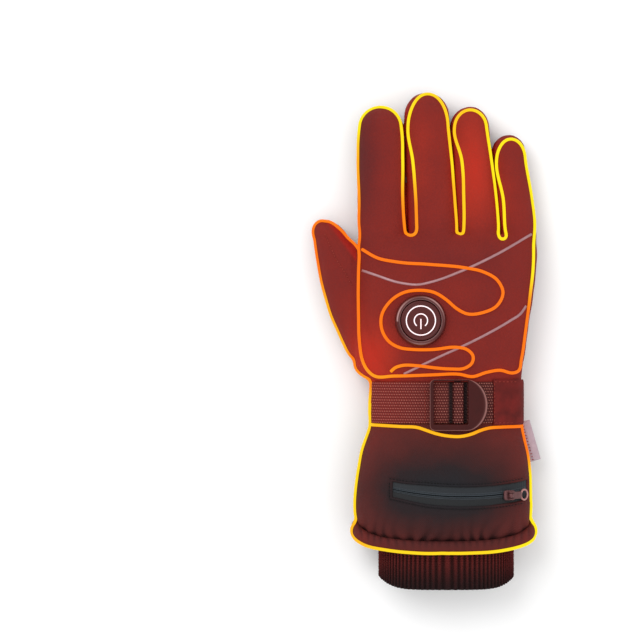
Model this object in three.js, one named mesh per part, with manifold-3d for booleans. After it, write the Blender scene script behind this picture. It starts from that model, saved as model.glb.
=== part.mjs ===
// Heated winter glove for the right hand, lying palm down: fingers along +Y, back of the hand up along +Z,
// thumb to -X. Millimetres. The origin is under the middle of the glove, on the surface that it lies on.
// The hand and the thumb are hollow padded shells, the gauntlet is a padded sleeve with a rolled hem, and a ribbed
// knit cuff hangs inside it. Strap, buckle, switch, zip, piping and the heating wires are pieces of their own.
import * as THREE from "three";
import { mergeVertices } from "three/addons/utils/BufferGeometryUtils.js";
import Module from "manifold-3d";

const wasm = await Module();
wasm.setup();
const { lerp, degToRad } = THREE.MathUtils;

// Driving sizes of the hand
const HAND_WIDTH = 109; // across the knuckles
const HAND_LENGTH = 103; // wrist seam to the finger crotches
const HAND_THICK = 36;
const INDEX_LENGTH = 78.5;
const MIDDLE_LENGTH = 87.5;
const RING_LENGTH = 78.5;
const LITTLE_LENGTH = 61.5;
const FINGER_GAP = 0.7; // between two fingers, side by side
const FINGER_SPAN = 100.3; // across the four fingers, SPAN_AT beyond the crotches
const SPAN_AT = 65;
const THUMB_REACH = 26.5; // from the side of the hand to the side of the thumb
const WALL = 3; // shell fabric with its padding

// Driving sizes of the gauntlet and the knit cuff
const CUFF_LENGTH = 71; // wrist seam to hem seam, at the sides
const CUFF_WIDTH = 106;
const CUFF_SHIFT = -1.8; // its wide end lies this much nearer to the thumb than its neck
const CUFF_THICK = 43;
const CUFF_WALL = 3.5;
const HEM_HEIGHT = 8;
const HEM_BULGE = 3;
const BACK_SAG = 11.4; // the hem reaches this much lower in the middle of the back
const PALM_SAG = 8;
const KNIT_VISIBLE = 21.5; // below the hem in the middle of the back
const KNIT_WIDTH = 81.5;
const KNIT_THICK = 30;
const KNIT_WALL = 2.5;
const KNIT_RIBS = 60;
const RIB_HEIGHT = 0.9;

// Driving sizes of the trims
const GAP = 0.3; // clear space between two pieces that touch on the real glove
const WIRE_RADIUS = 1.3;
const WIRE_SIDES = 4;
const WEBBING_WIDTH = 25;
const WEBBING_THICK = 1.5;
const BUCKLE_LENGTH = 35;
const BUCKLE_HEIGHT = 31;
const BUCKLE_THICK = 2.8;
const BUCKLE_RIM = 2.4;
const CENTRE_BAR = 4;
const PATCH_HEIGHT = 29;
const PATCH_THICK = 2.2;
const SWITCH_RADIUS = 14.5;
const SWITCH_RIM = 2; // width of the raised rim round the cap
const SWITCH_HEIGHT = 4.4; // above the highest fabric under it
const CAP_THICK = 1.8;
const CAP_TRAVEL = 0.8;
const LIGHT_RING_RADIUS = 9.2;
const LIGHT_LINE = 0.9; // width of the white lines on the cap
const SYMBOL_RADIUS = 4.4;
const PIPING_WIDTH = 2.2;
const PIPING_PROUD = 0.2;
const INLAY = 1.2; // thickness of what is let into the shell
const ZIP_LENGTH = 82;
const ZIP_WIDTH = 11;
const ZIP_MARGIN = 2.5; // from its open end to the gauntlet's side
const SLIDER_LENGTH = 8;
const SLIDER_WIDTH = 6.5;
const PULL_LENGTH = 15.5;
const PULL_WIDTH = 4.6;
const PULL_THICK = 1.2;
const RING_RADIUS = 3.7; // of the ring at the end of the pull
const RING_HOLE = 2.5;
const LABEL_LENGTH = 25;
const LABEL_WIDTH = 5;
const LABEL_THICK = 0.8;

// Shape of a section: a superellipse whose lower half is cut flat at its floor
const ROUNDNESS = 2.45;
const BELLY = 0.46; // height of the widest line, as a share of the thickness
const FLATTEN = 1.16; // how far the lower half would reach without its flat
const LIMB_SIDES = 16;
const HOLLOW_SIDES = 10; // of the hollow inside a finger or the thumb
const HAND_SIDES = 28;
const ROUND_SIDES = 24; // of what is turned round
const CUFF_SIDES = 40;

// Places that follow from the sizes: the glove is centred on the origin along X and Y
const LABEL_REACH = 1.8; // beyond the side of the hand
const HAND_LEFT = (THUMB_REACH - HAND_WIDTH - LABEL_REACH) / 2;
const HEM_END = CUFF_LENGTH + BACK_SAG + HEM_HEIGHT;
const WIRE_STAND = GAP + PIPING_PROUD + WIRE_RADIUS; // wire's centre above the fabric
const FOREHAND = HAND_LENGTH + MIDDLE_LENGTH;
const WRIST_Y = (HEM_END + KNIT_VISIBLE - FOREHAND) / 2;
const CROTCH_Y = WRIST_Y + HAND_LENGTH;
const SEAM_Z = 5; // height of the seam between the back and the palm
const HIGH = FOREHAND + HEM_END + KNIT_VISIBLE; // farther than anything that is cut

const acrossHand = (share) => HAND_LEFT + share * HAND_WIDTH;
const alongHand = (share) => WRIST_Y + share * HAND_LENGTH;

// A section of a limb, at its own y. left, right, floor and top are places in millimetres.
function section(y, left, right, floor, top) {
  const middle = lerp(floor, top, BELLY);
  return {
    y,
    centre: (left + right) / 2,
    half: (right - left) / 2,
    middle,
    above: top - middle,
    below: (middle - floor) * FLATTEN,
    floor,
  };
}

function grown(s, by) {
  return { ...s, half: s.half + by, above: s.above + by, below: s.below + by, floor: s.floor - by };
}

function mixed(a, b, t) {
  return Object.fromEntries(Object.keys(a).map((key) => [key, lerp(a[key], b[key], t)]));
}

// The point of a section at an angle, counted from +X through +Z
function onSection(s, angle) {
  const power = 2 / ROUNDNESS;
  const [c, q] = [Math.cos(angle), Math.sin(angle)];
  const x = s.centre + s.half * Math.sign(c) * Math.abs(c) ** power;
  const z = s.middle + (q > 0 ? s.above : s.below) * Math.sign(q) * Math.abs(q) ** power;
  return new THREE.Vector3(x, s.y, Math.max(z, s.floor));
}

function sectionAt(sections, y) {
  const last = sections.length - 2;
  const found = sections.findIndex((s, i) => i <= last && y <= sections[i + 1].y);
  const i = found < 0 ? last : found;
  const t = (y - sections[i].y) / (sections[i + 1].y - sections[i].y);
  return mixed(sections[i], sections[i + 1], t);
}

// A closed solid through rings of points. first and last are the points that close its two ends.
function loft(rings, first, last) {
  const n = rings[0].length;
  const points = rings.flat();
  const faces = [];
  rings.slice(1).forEach((ring, r) => {
    for (let i = 0; i < n; i++) {
      const [a, b] = [r * n + i, r * n + ((i + 1) % n)];
      faces.push(a, a + n, b + n, a, b + n, b);
    }
  });
  if (first) {
    points.push(first, last);
    const end = (rings.length - 1) * n;
    for (let i = 0; i < n; i++) {
      const j = (i + 1) % n;
      faces.push(i, j, points.length - 2, end + j, end + i, points.length - 1);
    }
  }
  return solidOf(new THREE.BufferGeometry().setFromPoints(points).setIndex(faces));
}

function solidOf(source) {
  const bare = new THREE.BufferGeometry();
  bare.setAttribute("position", source.getAttribute("position"));
  bare.setIndex(source.index);
  const merged = mergeVertices(bare, 1e-4);
  const vertProperties = new Float32Array(merged.attributes.position.array);
  const triVerts = new Uint32Array(merged.index.array);
  const make = () => new wasm.Manifold(new wasm.Mesh({ numProp: 3, vertProperties, triVerts }));
  const made = make();
  if (made.volume() > 0) return made;
  for (let i = 0; i < triVerts.length; i += 3) {
    [triVerts[i + 1], triVerts[i + 2]] = [triVerts[i + 2], triVerts[i + 1]];
  }
  return make();
}

function meshOf(name, solid, material) {
  const m = solid.getMesh();
  const geometry = new THREE.BufferGeometry();
  geometry.setAttribute("position", new THREE.BufferAttribute(new Float32Array(m.vertProperties), 3));
  geometry.setIndex(new THREE.BufferAttribute(new Uint32Array(m.triVerts), 1));
  geometry.computeVertexNormals();
  const mesh = new THREE.Mesh(geometry, material);
  mesh.name = name;
  return mesh;
}

const angles = (count) => Array.from({ length: count }, (_, i) => (2 * Math.PI * i) / count);
const steps = (count) => Array.from({ length: count + 1 }, (_, i) => i / count);

function limbSolid(sections, sides, tip) {
  const rings = sections.map((s) => angles(sides).map((angle) => onSection(s, angle)));
  const start = sections[0];
  const end = tip ?? sections.at(-1);
  return loft(
    rings,
    new THREE.Vector3(start.centre, start.y, start.middle),
    new THREE.Vector3(end.centre, end.y, end.middle),
  );
}

// Hand: shares of its length from the wrist seam, of its width from the thumb side, and of its thickness
const HAND_SECTIONS = [
  { along: 0, left: 0.066, right: 0.912, floor: 0.085, top: 0.89 },
  { along: 0.165, left: 0.066, right: 0.912, floor: 0.085, top: 0.89 },
  { along: 0.315, left: 0.027, right: 0.935, floor: 0.01, top: 0.96 },
  { along: 0.48, left: 0.003, right: 0.957, floor: 0, top: 1 },
  { along: 0.74, left: 0, right: 0.988, floor: 0, top: 0.97 },
  { along: 0.93, left: 0.002, right: 1, floor: 0, top: 0.84 },
  { along: 1, left: 0.012, right: 0.992, floor: 0.02, top: 0.7 },
];

function handSections(grow, open) {
  const made = HAND_SECTIONS.map((row) =>
    grown(
      section(
        alongHand(row.along),
        acrossHand(row.left),
        acrossHand(row.right),
        row.floor * HAND_THICK,
        row.top * HAND_THICK,
      ),
      grow,
    ),
  );
  made.at(-1).y += grow;
  made[0].y += open ? -HAND_LENGTH / 2 : GAP / 2;
  return made;
}

// Fingers: base and tip are shares of the widths across all four, the heights at both ends are shares of the
// finger's width, and the angles say how high on each shoulder the heating wire lies
const FINGERS = [
  { name: "index", length: INDEX_LENGTH, base: 0.275, tip: 0.284, heights: [0.92, 0.86], lift: 32, fall: 45 },
  { name: "middle", length: MIDDLE_LENGTH, base: 0.283, tip: 0.278, heights: [0.92, 0.86], lift: 50, fall: 42 },
  { name: "ring", length: RING_LENGTH, base: 0.238, tip: 0.24, heights: [1, 0.9], lift: 47, fall: 42 },
  { name: "little", length: LITTLE_LENGTH, base: 0.204, tip: 0.198, heights: [1.08, 0.92], lift: 50, fall: 38 },
];
const TIP_LENGTH = 1.12; // of the rounding, as a share of half the width
const BASE_SINK = 0.16; // how far a finger's tube starts inside the hand, as a share of the hand's length
const TIP_ANGLES = [0, 24, 45, 63, 78].map(degToRad);

FINGERS.forEach((finger, i) => {
  const before = FINGERS.slice(0, i);
  const place = (key, whole) => {
    const free = whole - FINGER_GAP * (FINGERS.length - 1);
    const start = HAND_LEFT + before.reduce((sum, f) => sum + f[key] * free + FINGER_GAP, 0);
    return { left: start, right: start + finger[key] * free };
  };
  finger.atBase = place("base", HAND_WIDTH);
  finger.atTip = place("tip", FINGER_SPAN);
});

function fingerSection(finger, y) {
  const t = Math.max(0, y - CROTCH_Y) / SPAN_AT;
  const left = lerp(finger.atBase.left, finger.atTip.left, t);
  const right = lerp(finger.atBase.right, finger.atTip.right, t);
  const height = lerp(...finger.heights, t) * (right - left);
  return section(y, left, right, 0, height);
}

function fingerRound(finger) {
  const end = CROTCH_Y + finger.length;
  const { half } = fingerSection(finger, end);
  return { start: end - TIP_LENGTH * half, length: TIP_LENGTH * half };
}

// Sections over a rounded tip: an ellipse's quarter, whose centre may drift sideways
function tipSections(s, length, drift, shares) {
  return shares.map((angle) => {
    const [c, q] = [Math.cos(angle), Math.sin(angle)];
    return {
      ...s,
      y: s.y + length * q,
      centre: s.centre + drift * q,
      half: s.half * c,
      above: s.above * c,
      below: s.below * c,
    };
  });
}

function fingerSections(finger, grow) {
  const round = fingerRound(finger);
  const start = CROTCH_Y - BASE_SINK * HAND_LENGTH - grow;
  const straight = [start, CROTCH_Y, lerp(CROTCH_Y, round.start, 0.5)];
  const end = grown(fingerSection(finger, round.start), grow);
  return [
    ...straight.map((y) => grown(fingerSection(finger, y), grow)),
    ...tipSections(end, round.length + grow, 0, TIP_ANGLES),
  ];
}

function fingerSolid(finger, grow) {
  const sections = fingerSections(finger, grow);
  const tip = { ...sections.at(-1), y: CROTCH_Y + finger.length + grow };
  return limbSolid(sections, grow === -WALL ? HOLLOW_SIDES : LIMB_SIDES, tip);
}

// Thumb: along as on the hand; left and right are shares of its reach, counted from the side of the hand
const THUMB_SECTIONS = [
  { along: 0.145, left: 0.29, right: 1.1, top: 0.78 },
  { along: 0.17, left: 0.1, right: 1.1, top: 0.78 },
  { along: 0.27, left: -0.16, right: 1, top: 0.75 },
  { along: 0.37, left: -0.36, right: 0.85, top: 0.73 },
  { along: 0.5, left: -0.59, right: 0.65, top: 0.7 },
  { along: 0.64, left: -0.77, right: 0.5, top: 0.68 },
  { along: 0.8, left: -0.91, right: 0.32, top: 0.65 },
  { along: 0.915, left: -0.975, right: 0.06, top: 0.61 },
  { along: 0.975, left: -0.995, right: -0.2, top: 0.56 },
];
const THUMB_TIP = { length: 0.115, drift: -0.15 }; // shares of the hand's length and of the thumb's reach

function thumbSections(grow) {
  const straight = THUMB_SECTIONS.map((row) =>
    grown(
      section(
        alongHand(row.along),
        HAND_LEFT + row.left * THUMB_REACH,
        HAND_LEFT + row.right * THUMB_REACH,
        0,
        row.top * HAND_THICK,
      ),
      grow,
    ),
  );
  straight[0].y -= grow;
  const length = THUMB_TIP.length * HAND_LENGTH + grow;
  const drift = THUMB_TIP.drift * THUMB_REACH;
  return [...straight.slice(0, -1), ...tipSections(straight.at(-1), length, drift, TIP_ANGLES)];
}

function thumbSolid(grow) {
  const sections = thumbSections(grow);
  const end = sections.at(-1);
  const y = alongHand(THUMB_SECTIONS.at(-1).along + THUMB_TIP.length) + grow;
  return limbSolid(sections, grow === -WALL ? HOLLOW_SIDES : LIMB_SIDES, { ...end, y });
}

function handSolid(grow, open) {
  return FINGERS.reduce(
    (sum, finger) => sum.add(fingerSolid(finger, grow)),
    limbSolid(handSections(grow, open), HAND_SIDES),
  );
}

// Height of the upper surface of the glove's hand, grown by a margin, over a point of the plan
function topHeight(x, y, grow) {
  const fingers = FINGERS.map((finger) => fingerSections(finger, grow));
  const limbs = [handSections(grow, false), thumbSections(grow), ...fingers];
  const heights = limbs.map((sections) => {
    if (y < sections[0].y || y > sections.at(-1).y) return 0;
    const s = sectionAt(sections, y);
    const share = Math.abs(x - s.centre) / s.half;
    return share < 1 ? s.middle + s.above * (1 - share ** ROUNDNESS) ** (1 / ROUNDNESS) : 0;
  });
  return Math.max(...heights);
}

// Gauntlet: along is a share of its length from the wrist seam, flare goes from the neck to the full width,
// and floor is a share of the hem's bulge, because the hem alone reaches the surface
const CUFF_SECTIONS = [
  { along: 0, flare: 0, floor: 1 },
  { along: 0.1, flare: 0, floor: 1 },
  { along: 0.21, flare: 0, floor: 1 },
  { along: 0.3, flare: 0.26, floor: 0.8 },
  { along: 0.42, flare: 0.62, floor: 0.5 },
  { along: 0.58, flare: 0.9, floor: 0.35 },
  { along: 0.76, flare: 1, floor: 0.35 },
  { along: 0.92, flare: 1, floor: 0.6 },
  { along: 1, flare: 0.88, floor: 1 },
];
const NECK = handSections(0, false)[0];
const GATHER = 1.3; // depth of the elastic's gathers under the wrist
const GATHER_START = 0.04;
const GATHER_END = 0.34;

function cuffSection(along, grow) {
  const last = CUFF_SECTIONS.length - 2;
  const found = CUFF_SECTIONS.findIndex((row, i) => i <= last && along <= CUFF_SECTIONS[i + 1].along);
  const i = found < 0 ? last : found;
  const [a, b] = [CUFF_SECTIONS[i], CUFF_SECTIONS[i + 1]];
  const row = mixed(a, b, (along - a.along) / (b.along - a.along));
  const neckFloor = NECK.floor;
  const half = lerp(NECK.half, CUFF_WIDTH / 2, row.flare);
  const centre = NECK.centre + CUFF_SHIFT * row.flare;
  const top = lerp(NECK.middle + NECK.above, CUFF_THICK, row.flare);
  const floor = lerp(neckFloor, HEM_BULGE * row.floor, Math.min(1, along / CUFF_SECTIONS[3].along));
  const y = WRIST_Y - GAP / 2 - along * CUFF_LENGTH;
  return grown(section(y, centre - half, centre + half, floor, top), grow);
}

// A point of the gauntlet's surface; towards the hem its line sags in the middle of the back and of the palm
function onCuff(along, angle, grow, fold = 0) {
  const inGather = along > GATHER_START && along < GATHER_END && Math.sin(angle) < -0.1;
  const point = onSection(cuffSection(along, grow - (inGather ? fold * GATHER : 0)), angle);
  const q = Math.sin(angle);
  const sag = (q > 0 ? BACK_SAG : PALM_SAG) * Math.abs(q) ** 0.75 * Math.max(0, along) ** 3;
  point.y -= sag;
  return point;
}

function cuffRings(grow, from, to, folded) {
  const inner = CUFF_SECTIONS.map((row) => row.along).filter((along) => along > from && along < to);
  return [from, ...inner, to].map((along) =>
    angles(CUFF_SIDES).map((angle, i) => onCuff(along, angle, grow, folded ? i % 2 : 0)),
  );
}

function cuffSolid(grow, from, to) {
  const rings = cuffRings(grow, from, to, false);
  const middle = (ring) =>
    ring.reduce((sum, p) => sum.add(p), new THREE.Vector3()).divideScalar(ring.length);
  return loft(rings, middle(rings[0]), middle(rings.at(-1)));
}

// The angle at which a section reaches a place along X, on its upper half
function angleAt(s, x) {
  const share = THREE.MathUtils.clamp((x - s.centre) / s.half, -1, 1);
  return Math.acos(Math.sign(share) * Math.abs(share) ** (ROUNDNESS / 2));
}

// A prism over a closed outline in plan, from one height to another
function prism(outline, low, high) {
  const shape = new THREE.Shape(outline.map(([x, y]) => new THREE.Vector2(x, y)));
  const geometry = new THREE.ExtrudeGeometry(shape, { depth: high - low, bevelEnabled: false });
  return solidOf(geometry.translate(0, 0, low));
}

const rectangle = (x0, x1, y0, y1) => [
  [x0, y0],
  [x1, y0],
  [x1, y1],
  [x0, y1],
];

const circleOutline = (x, y, radius) =>
  angles(ROUND_SIDES).map((angle) => [x + radius * Math.cos(angle), y + radius * Math.sin(angle)]);

// Outline of a band of even width along a line in plan
function bandOutline(line, half) {
  const side = (sign) =>
    line.map(([x, y], i) => {
      const [x0, y0] = line[Math.max(0, i - 1)];
      const [x1, y1] = line[Math.min(line.length - 1, i + 1)];
      const length = Math.hypot(x1 - x0, y1 - y0);
      return [x - (sign * half * (y1 - y0)) / length, y + (sign * half * (x1 - x0)) / length];
    });
  return [...side(1), ...side(-1).reverse()];
}

// The outline moved outwards by a margin, corner by corner
function widened(outline, by) {
  const n = outline.length;
  const turn = THREE.ShapeUtils.area(outline.map(([x, y]) => new THREE.Vector2(x, y))) > 0 ? 1 : -1;
  return outline.map(([x, y], i) => {
    const [a, b] = [outline[(i + n - 1) % n], outline[(i + 1) % n]];
    const before = new THREE.Vector2(x - a[0], y - a[1]).normalize();
    const after = new THREE.Vector2(b[0] - x, b[1] - y).normalize();
    const out = new THREE.Vector2(before.y + after.y, -before.x - after.x).normalize();
    const reach = (turn * by) / Math.max(0.5, Math.hypot(before.x + after.x, before.y + after.y) / 2);
    return [x + out.x * reach, y + out.y * reach];
  });
}

function splineThrough(points, count) {
  const curve = new THREE.CatmullRomCurve3(
    points.map(([x, y]) => new THREE.Vector3(x, y, 0)),
    false,
    "centripetal",
  );
  return curve.getSpacedPoints(count).map((p) => [p.x, p.y]);
}

// A wire through points: rings across its run, closed on itself or with flat ends
function wire(points, closed) {
  const n = points.length;
  const at = (i) => (closed ? points[(i + n) % n] : points[THREE.MathUtils.clamp(i, 0, n - 1)]);
  const rings = points.map((point, i) => {
    const ahead = at(i + 1).clone().sub(at(i - 1)).normalize();
    const side = new THREE.Vector3().crossVectors(ahead, new THREE.Vector3(0, 0, 1)).normalize();
    const up = new THREE.Vector3().crossVectors(side, ahead);
    return angles(WIRE_SIDES).map((angle) =>
      point
        .clone()
        .addScaledVector(side, WIRE_RADIUS * Math.cos(angle))
        .addScaledVector(up, WIRE_RADIUS * Math.sin(angle)),
    );
  });
  return closed ? loft([...rings, rings[0]]) : loft(rings, points[0], points.at(-1));
}

const softshell = new THREE.MeshStandardMaterial({ color: 0x6e2a2a, roughness: 0.85 });
const palmLeather = new THREE.MeshStandardMaterial({ color: 0x2a2c31, roughness: 0.6 });
const gripPrint = new THREE.MeshStandardMaterial({ color: 0x1d1f23, roughness: 0.5 });
const nylon = new THREE.MeshStandardMaterial({ color: 0x4a2024, roughness: 0.8 });
const knit = new THREE.MeshStandardMaterial({ color: 0x3f2023, roughness: 0.95 });
const webbing = new THREE.MeshStandardMaterial({ color: 0x6b2428, roughness: 0.75 });
const acetal = new THREE.MeshStandardMaterial({ color: 0x3a1c1f, roughness: 0.35 });
const silicone = new THREE.MeshStandardMaterial({ color: 0x4a2226, roughness: 0.4 });
const whiteLight = new THREE.MeshStandardMaterial({ color: 0xf0e0e2, roughness: 0.5 });
const reflective = new THREE.MeshStandardMaterial({ color: 0xb98a90, roughness: 0.4 });
const zipCloth = new THREE.MeshStandardMaterial({ color: 0x26292e, roughness: 0.6 });
const zipMetal = new THREE.MeshStandardMaterial({ color: 0x5a3036, roughness: 0.35, metalness: 0.8 });
const labelCloth = new THREE.MeshStandardMaterial({ color: 0xc9b6be, roughness: 0.8 });
const glow = new THREE.MeshStandardMaterial({ color: 0xff9a10, emissive: 0xff8000, roughness: 0.5 });

const glove = new THREE.Group();
glove.name = "heated_glove";
const add = (name, solid, material) => glove.add(meshOf(name, solid, material));

// Shell of the hand: a hollow with four fingers, cut into a back and a palm at the seam, open to the thumb
const handOutside = handSolid(0, false);
const handInside = handSolid(-WALL, true);
const seatOnHand = handSolid(GAP, true);
const thumbInside = thumbSolid(-WALL);
const handShell = handOutside.subtract(handInside).subtract(thumbInside);
const slab = (low, high) => prism(rectangle(-HIGH, HIGH, -HIGH, HIGH), low, high);

// Reflective piping: two lines across the back, shares of the hand's width and length
const UPPER_PIPING = [
  { across: 0.045, along: 0.782 },
  { across: 0.16, along: 0.742 },
  { across: 0.274, along: 0.71 },
  { across: 0.346, along: 0.706 },
  { across: 0.413, along: 0.724 },
  { across: 0.575, along: 0.791 },
  { across: 0.799, along: 0.899 },
  { across: 0.925, along: 0.965 },
];
const LOWER_PIPING = [
  { across: 0.935, along: 0.57 },
  { across: 0.89, along: 0.525 },
  { across: 0.78, along: 0.46 },
  { across: 0.659, along: 0.392 },
  { across: 0.486, along: 0.298 },
  { across: 0.345, along: 0.222 },
];
const PIPING_STEPS = 14;
const inlayUnder = handSolid(-INLAY, true);
const pocketUnder = handSolid(-INLAY - GAP, true);
const pipingOver = handSolid(PIPING_PROUD, true);

function pipingLine(table) {
  return splineThrough(
    table.map((row) => [acrossHand(row.across), alongHand(row.along)]),
    PIPING_STEPS,
  );
}

const pipingLines = { upper: pipingLine(UPPER_PIPING), lower: pipingLine(LOWER_PIPING) };
let backPanel = handShell.intersect(slab(SEAM_Z + GAP / 2, HIGH));
for (const [name, line] of Object.entries(pipingLines)) {
  const outline = bandOutline(line, PIPING_WIDTH / 2);
  const above = HAND_THICK * BELLY;
  add(
    `reflective_piping_${name}`,
    prism(outline, above, HIGH).intersect(pipingOver).subtract(inlayUnder),
    reflective,
  );
  backPanel = backPanel.subtract(prism(widened(outline, GAP), above, HIGH).subtract(pocketUnder));
}
add("back_panel", backPanel, softshell);

// Palm side: the leather palm holds two inlaid panels, the printed grip and the web of the thumb
const GRIP_OUTLINE = [
  { across: 0.955, along: 0.82 },
  { across: 0.68, along: 0.86 },
  { across: 0.26, along: 0.89 },
  { across: 0.06, along: 0.88 },
  { across: 0.09, along: 0.755 },
  { across: 0.185, along: 0.66 },
  { across: 0.33, along: 0.55 },
  { across: 0.385, along: 0.435 },
  { across: 0.41, along: 0.28 },
  { across: 0.425, along: 0.1 },
  { across: 0.86, along: 0.1 },
  { across: 0.93, along: 0.4 },
];
const WEB_OUTLINE = [
  { across: 0.04, along: 0.78 },
  { across: 0.075, along: 0.7 },
  { across: 0.165, along: 0.615 },
  { across: 0.305, along: 0.52 },
  { across: 0.355, along: 0.42 },
  { across: 0.38, along: 0.275 },
  { across: 0.395, along: 0.1 },
  { across: 0.31, along: 0.1 },
  { across: 0.24, along: 0.21 },
  { across: 0.155, along: 0.385 },
  { across: 0.06, along: 0.56 },
];

function palmOutline(table) {
  return table.map((row) => [acrossHand(row.across), alongHand(row.along)]);
}

const palmHalf = slab(-HIGH, SEAM_Z - GAP / 2);
let palmPanel = handShell.intersect(palmHalf);
for (const [name, table, material] of [
  ["grip_panel", GRIP_OUTLINE, gripPrint],
  ["thumb_web_panel", WEB_OUTLINE, palmLeather],
]) {
  const outline = palmOutline(table);
  const low = -HAND_THICK;
  const inlaid = prism(outline, low, SEAM_Z - GAP / 2).intersect(handOutside).subtract(inlayUnder);
  add(name, inlaid, material);
  palmPanel = palmPanel.subtract(prism(widened(outline, GAP), low, SEAM_Z).subtract(pocketUnder));
}
add("palm_panel", palmPanel, palmLeather);

// Thumb: a hollow tube that is sewn against the side of the hand and opens into it
add("thumb_sleeve", thumbSolid(0).subtract(thumbInside).subtract(seatOnHand), softshell);

// Gauntlet: padded sleeve from the wrist seam to the hem seam, with a recess for the zip
const ZIP_ALONG = 0.72; // middle of the zip, as a share of the gauntlet's length
const ZIP_STEPS = 12;

function zipLine() {
  const level = cuffSection(ZIP_ALONG, 0);
  const start = NECK.centre + CUFF_SHIFT + CUFF_WIDTH / 2 - ZIP_MARGIN - ZIP_LENGTH;
  return steps(ZIP_STEPS).map((t) => {
    const x = start + t * ZIP_LENGTH;
    return [x, onCuff(ZIP_ALONG, angleAt(level, x), 0).y];
  });
}

const zipRun = zipLine();
const zipHalf = (side, half, margin) => {
  const edge = (offset) => zipRun.map(([x, y]) => [x, y + side * offset]);
  const outline = [...edge(half), ...edge(GAP / 2).reverse()];
  return prism(margin ? widened(outline, margin) : outline, CUFF_THICK * BELLY, HIGH);
};
const zipTop = cuffSolid(-GAP, -0.3, 1.2);
const zipUnder = cuffSolid(-GAP - INLAY, -0.3, 1.2);
const zipFloor = cuffSolid(-2 * GAP - INLAY, -0.3, 1.2);
const cuffOutside = cuffRings(0, 0, 1, true);
const cuffInside = cuffRings(-CUFF_WALL, 0, 1, false).reverse();
let cuffShell = loft([...cuffOutside, ...cuffInside, cuffOutside[0]]);
for (const [name, side] of [
  ["upper", 1],
  ["lower", -1],
]) {
  const tape = zipHalf(side, ZIP_WIDTH / 2, 0).intersect(zipTop).subtract(zipUnder);
  add(`zip_tape_${name}`, tape, zipCloth);
  cuffShell = cuffShell.subtract(zipHalf(side, ZIP_WIDTH / 2, GAP).subtract(zipFloor));
}
add("gauntlet_sleeve", cuffShell, nylon);

// Hem: a padded roll round the end of the gauntlet; out is counted from the sleeve's surface, down from its end
const HEM_PROFILE = [
  { out: -1, down: 0 },
  { out: 0.5, down: 0 },
  { out: 0.93, down: 0.22 },
  { out: 1, down: 0.6 },
  { out: 0.6, down: 0.93 },
  { out: -0.2, down: 1 },
  { out: -1, down: 0.85 },
];

const HEM_SEAM = 2.5 * GAP; // measured along Y, because the seam runs aslant

function onHem(angle, out, down) {
  const point = onCuff(1, angle, out * HEM_BULGE);
  point.y -= HEM_SEAM + down * (HEM_HEIGHT - HEM_SEAM);
  return point;
}

const hemRings = angles(CUFF_SIDES).map((angle) => HEM_PROFILE.map((p) => onHem(angle, p.out, p.down)));
add("hem_roll", loft([...hemRings, hemRings[0]]), nylon);

// Knit cuff: a ribbed tube that seats inside the neck of the gauntlet and shows below the hem
const KNIT_CORNER = 6; // how much shorter the knit is at its sides
const knitTopY = WRIST_Y - 0.06 * CUFF_LENGTH;
const knitEndY = WRIST_Y - HEM_END - KNIT_VISIBLE;
const knitFloor = HEM_BULGE + CUFF_WALL + RIB_HEIGHT / 2 + GAP;
const RIB_POINTS = 2 * KNIT_RIBS;

function knitSections(grow, reach) {
  const seat = grown(NECK, -CUFF_WALL - 1.8 * GAP - RIB_HEIGHT / 2 + grow);
  const left = NECK.centre - KNIT_WIDTH / 2;
  const tube = (y) => grown(section(y, left, left + KNIT_WIDTH, knitFloor, knitFloor + KNIT_THICK), grow);
  const mid = lerp(knitTopY, knitEndY, 0.5);
  return [
    { ...seat, y: knitTopY + reach },
    { ...seat, y: lerp(knitTopY, mid, 0.35) },
    tube(mid),
    tube(knitEndY + KNIT_CORNER),
    tube(knitEndY - reach),
  ];
}

function knitSolid(sides, grow, reach, ribbed) {
  const sections = knitSections(grow, reach);
  const rings = sections.map((s, r) =>
    angles(sides).map((angle, i) => {
      const rib = ribbed ? (i % 2 ? 0.5 : -0.5) * RIB_HEIGHT : 0;
      const point = onSection(grown(s, rib), angle);
      if (r === sections.length - 1) point.y += KNIT_CORNER * 0.9 * Math.abs(Math.cos(angle)) ** 6;
      return point;
    }),
  );
  const ends = [sections[0], sections.at(-1)].map((s) => new THREE.Vector3(s.centre, s.y, s.middle));
  return loft(rings, ...ends);
}

add(
  "knit_cuff",
  knitSolid(RIB_POINTS, 0, 0, true).subtract(knitSolid(HAND_SIDES, -KNIT_WALL, KNIT_CORNER, false)),
  knit,
);

// Wrist strap: webbing over the back of the neck, under the buckle's frame and over its centre bar
const STRAP_Y = WRIST_Y + 1;
const STRAP_LEFT_ANGLE = degToRad(160);
const PATCH_RIGHT_ANGLE = degToRad(14);
const BUCKLE_LEFT = acrossHand(0.392);
const PATCH_CLEAR = 3; // between the buckle and the patch
const PATCH_LEFT = BUCKLE_LEFT + BUCKLE_LENGTH + PATCH_CLEAR;
const windowLeft = BUCKLE_LEFT + BUCKLE_RIM;
const TAB_SHARE = 0.34; // of the buckle's length: the solid grip at its right end
const windowRight = BUCKLE_LEFT + (1 - TAB_SHARE) * BUCKLE_LENGTH;
const BAR_AT = 0.7; // middle of the bar, as a share of the window
const barLeft = lerp(windowLeft, windowRight, BAR_AT) - CENTRE_BAR / 2;
const BAR_THICK = 1.4;
const STRAP_STEP = 3;

const buckleLift = 2 * GAP + 0.1; // the webbing rises this much more than the bar's thickness
const neckAngle = (x) => angleAt(grown(NECK, GAP), x);

// The webbing climbs over the bar from one end of the window, and drops again before the other
function strapLift(x) {
  const [before, after] = [barLeft - GAP - x, x - barLeft - CENTRE_BAR - GAP];
  const room = before > 0 ? barLeft - windowLeft : windowRight - barLeft - CENTRE_BAR;
  return (buckleLift + BAR_THICK) * Math.max(0, 1 - Math.max(0, before, after) / (room - 2 * GAP));
}

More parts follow.
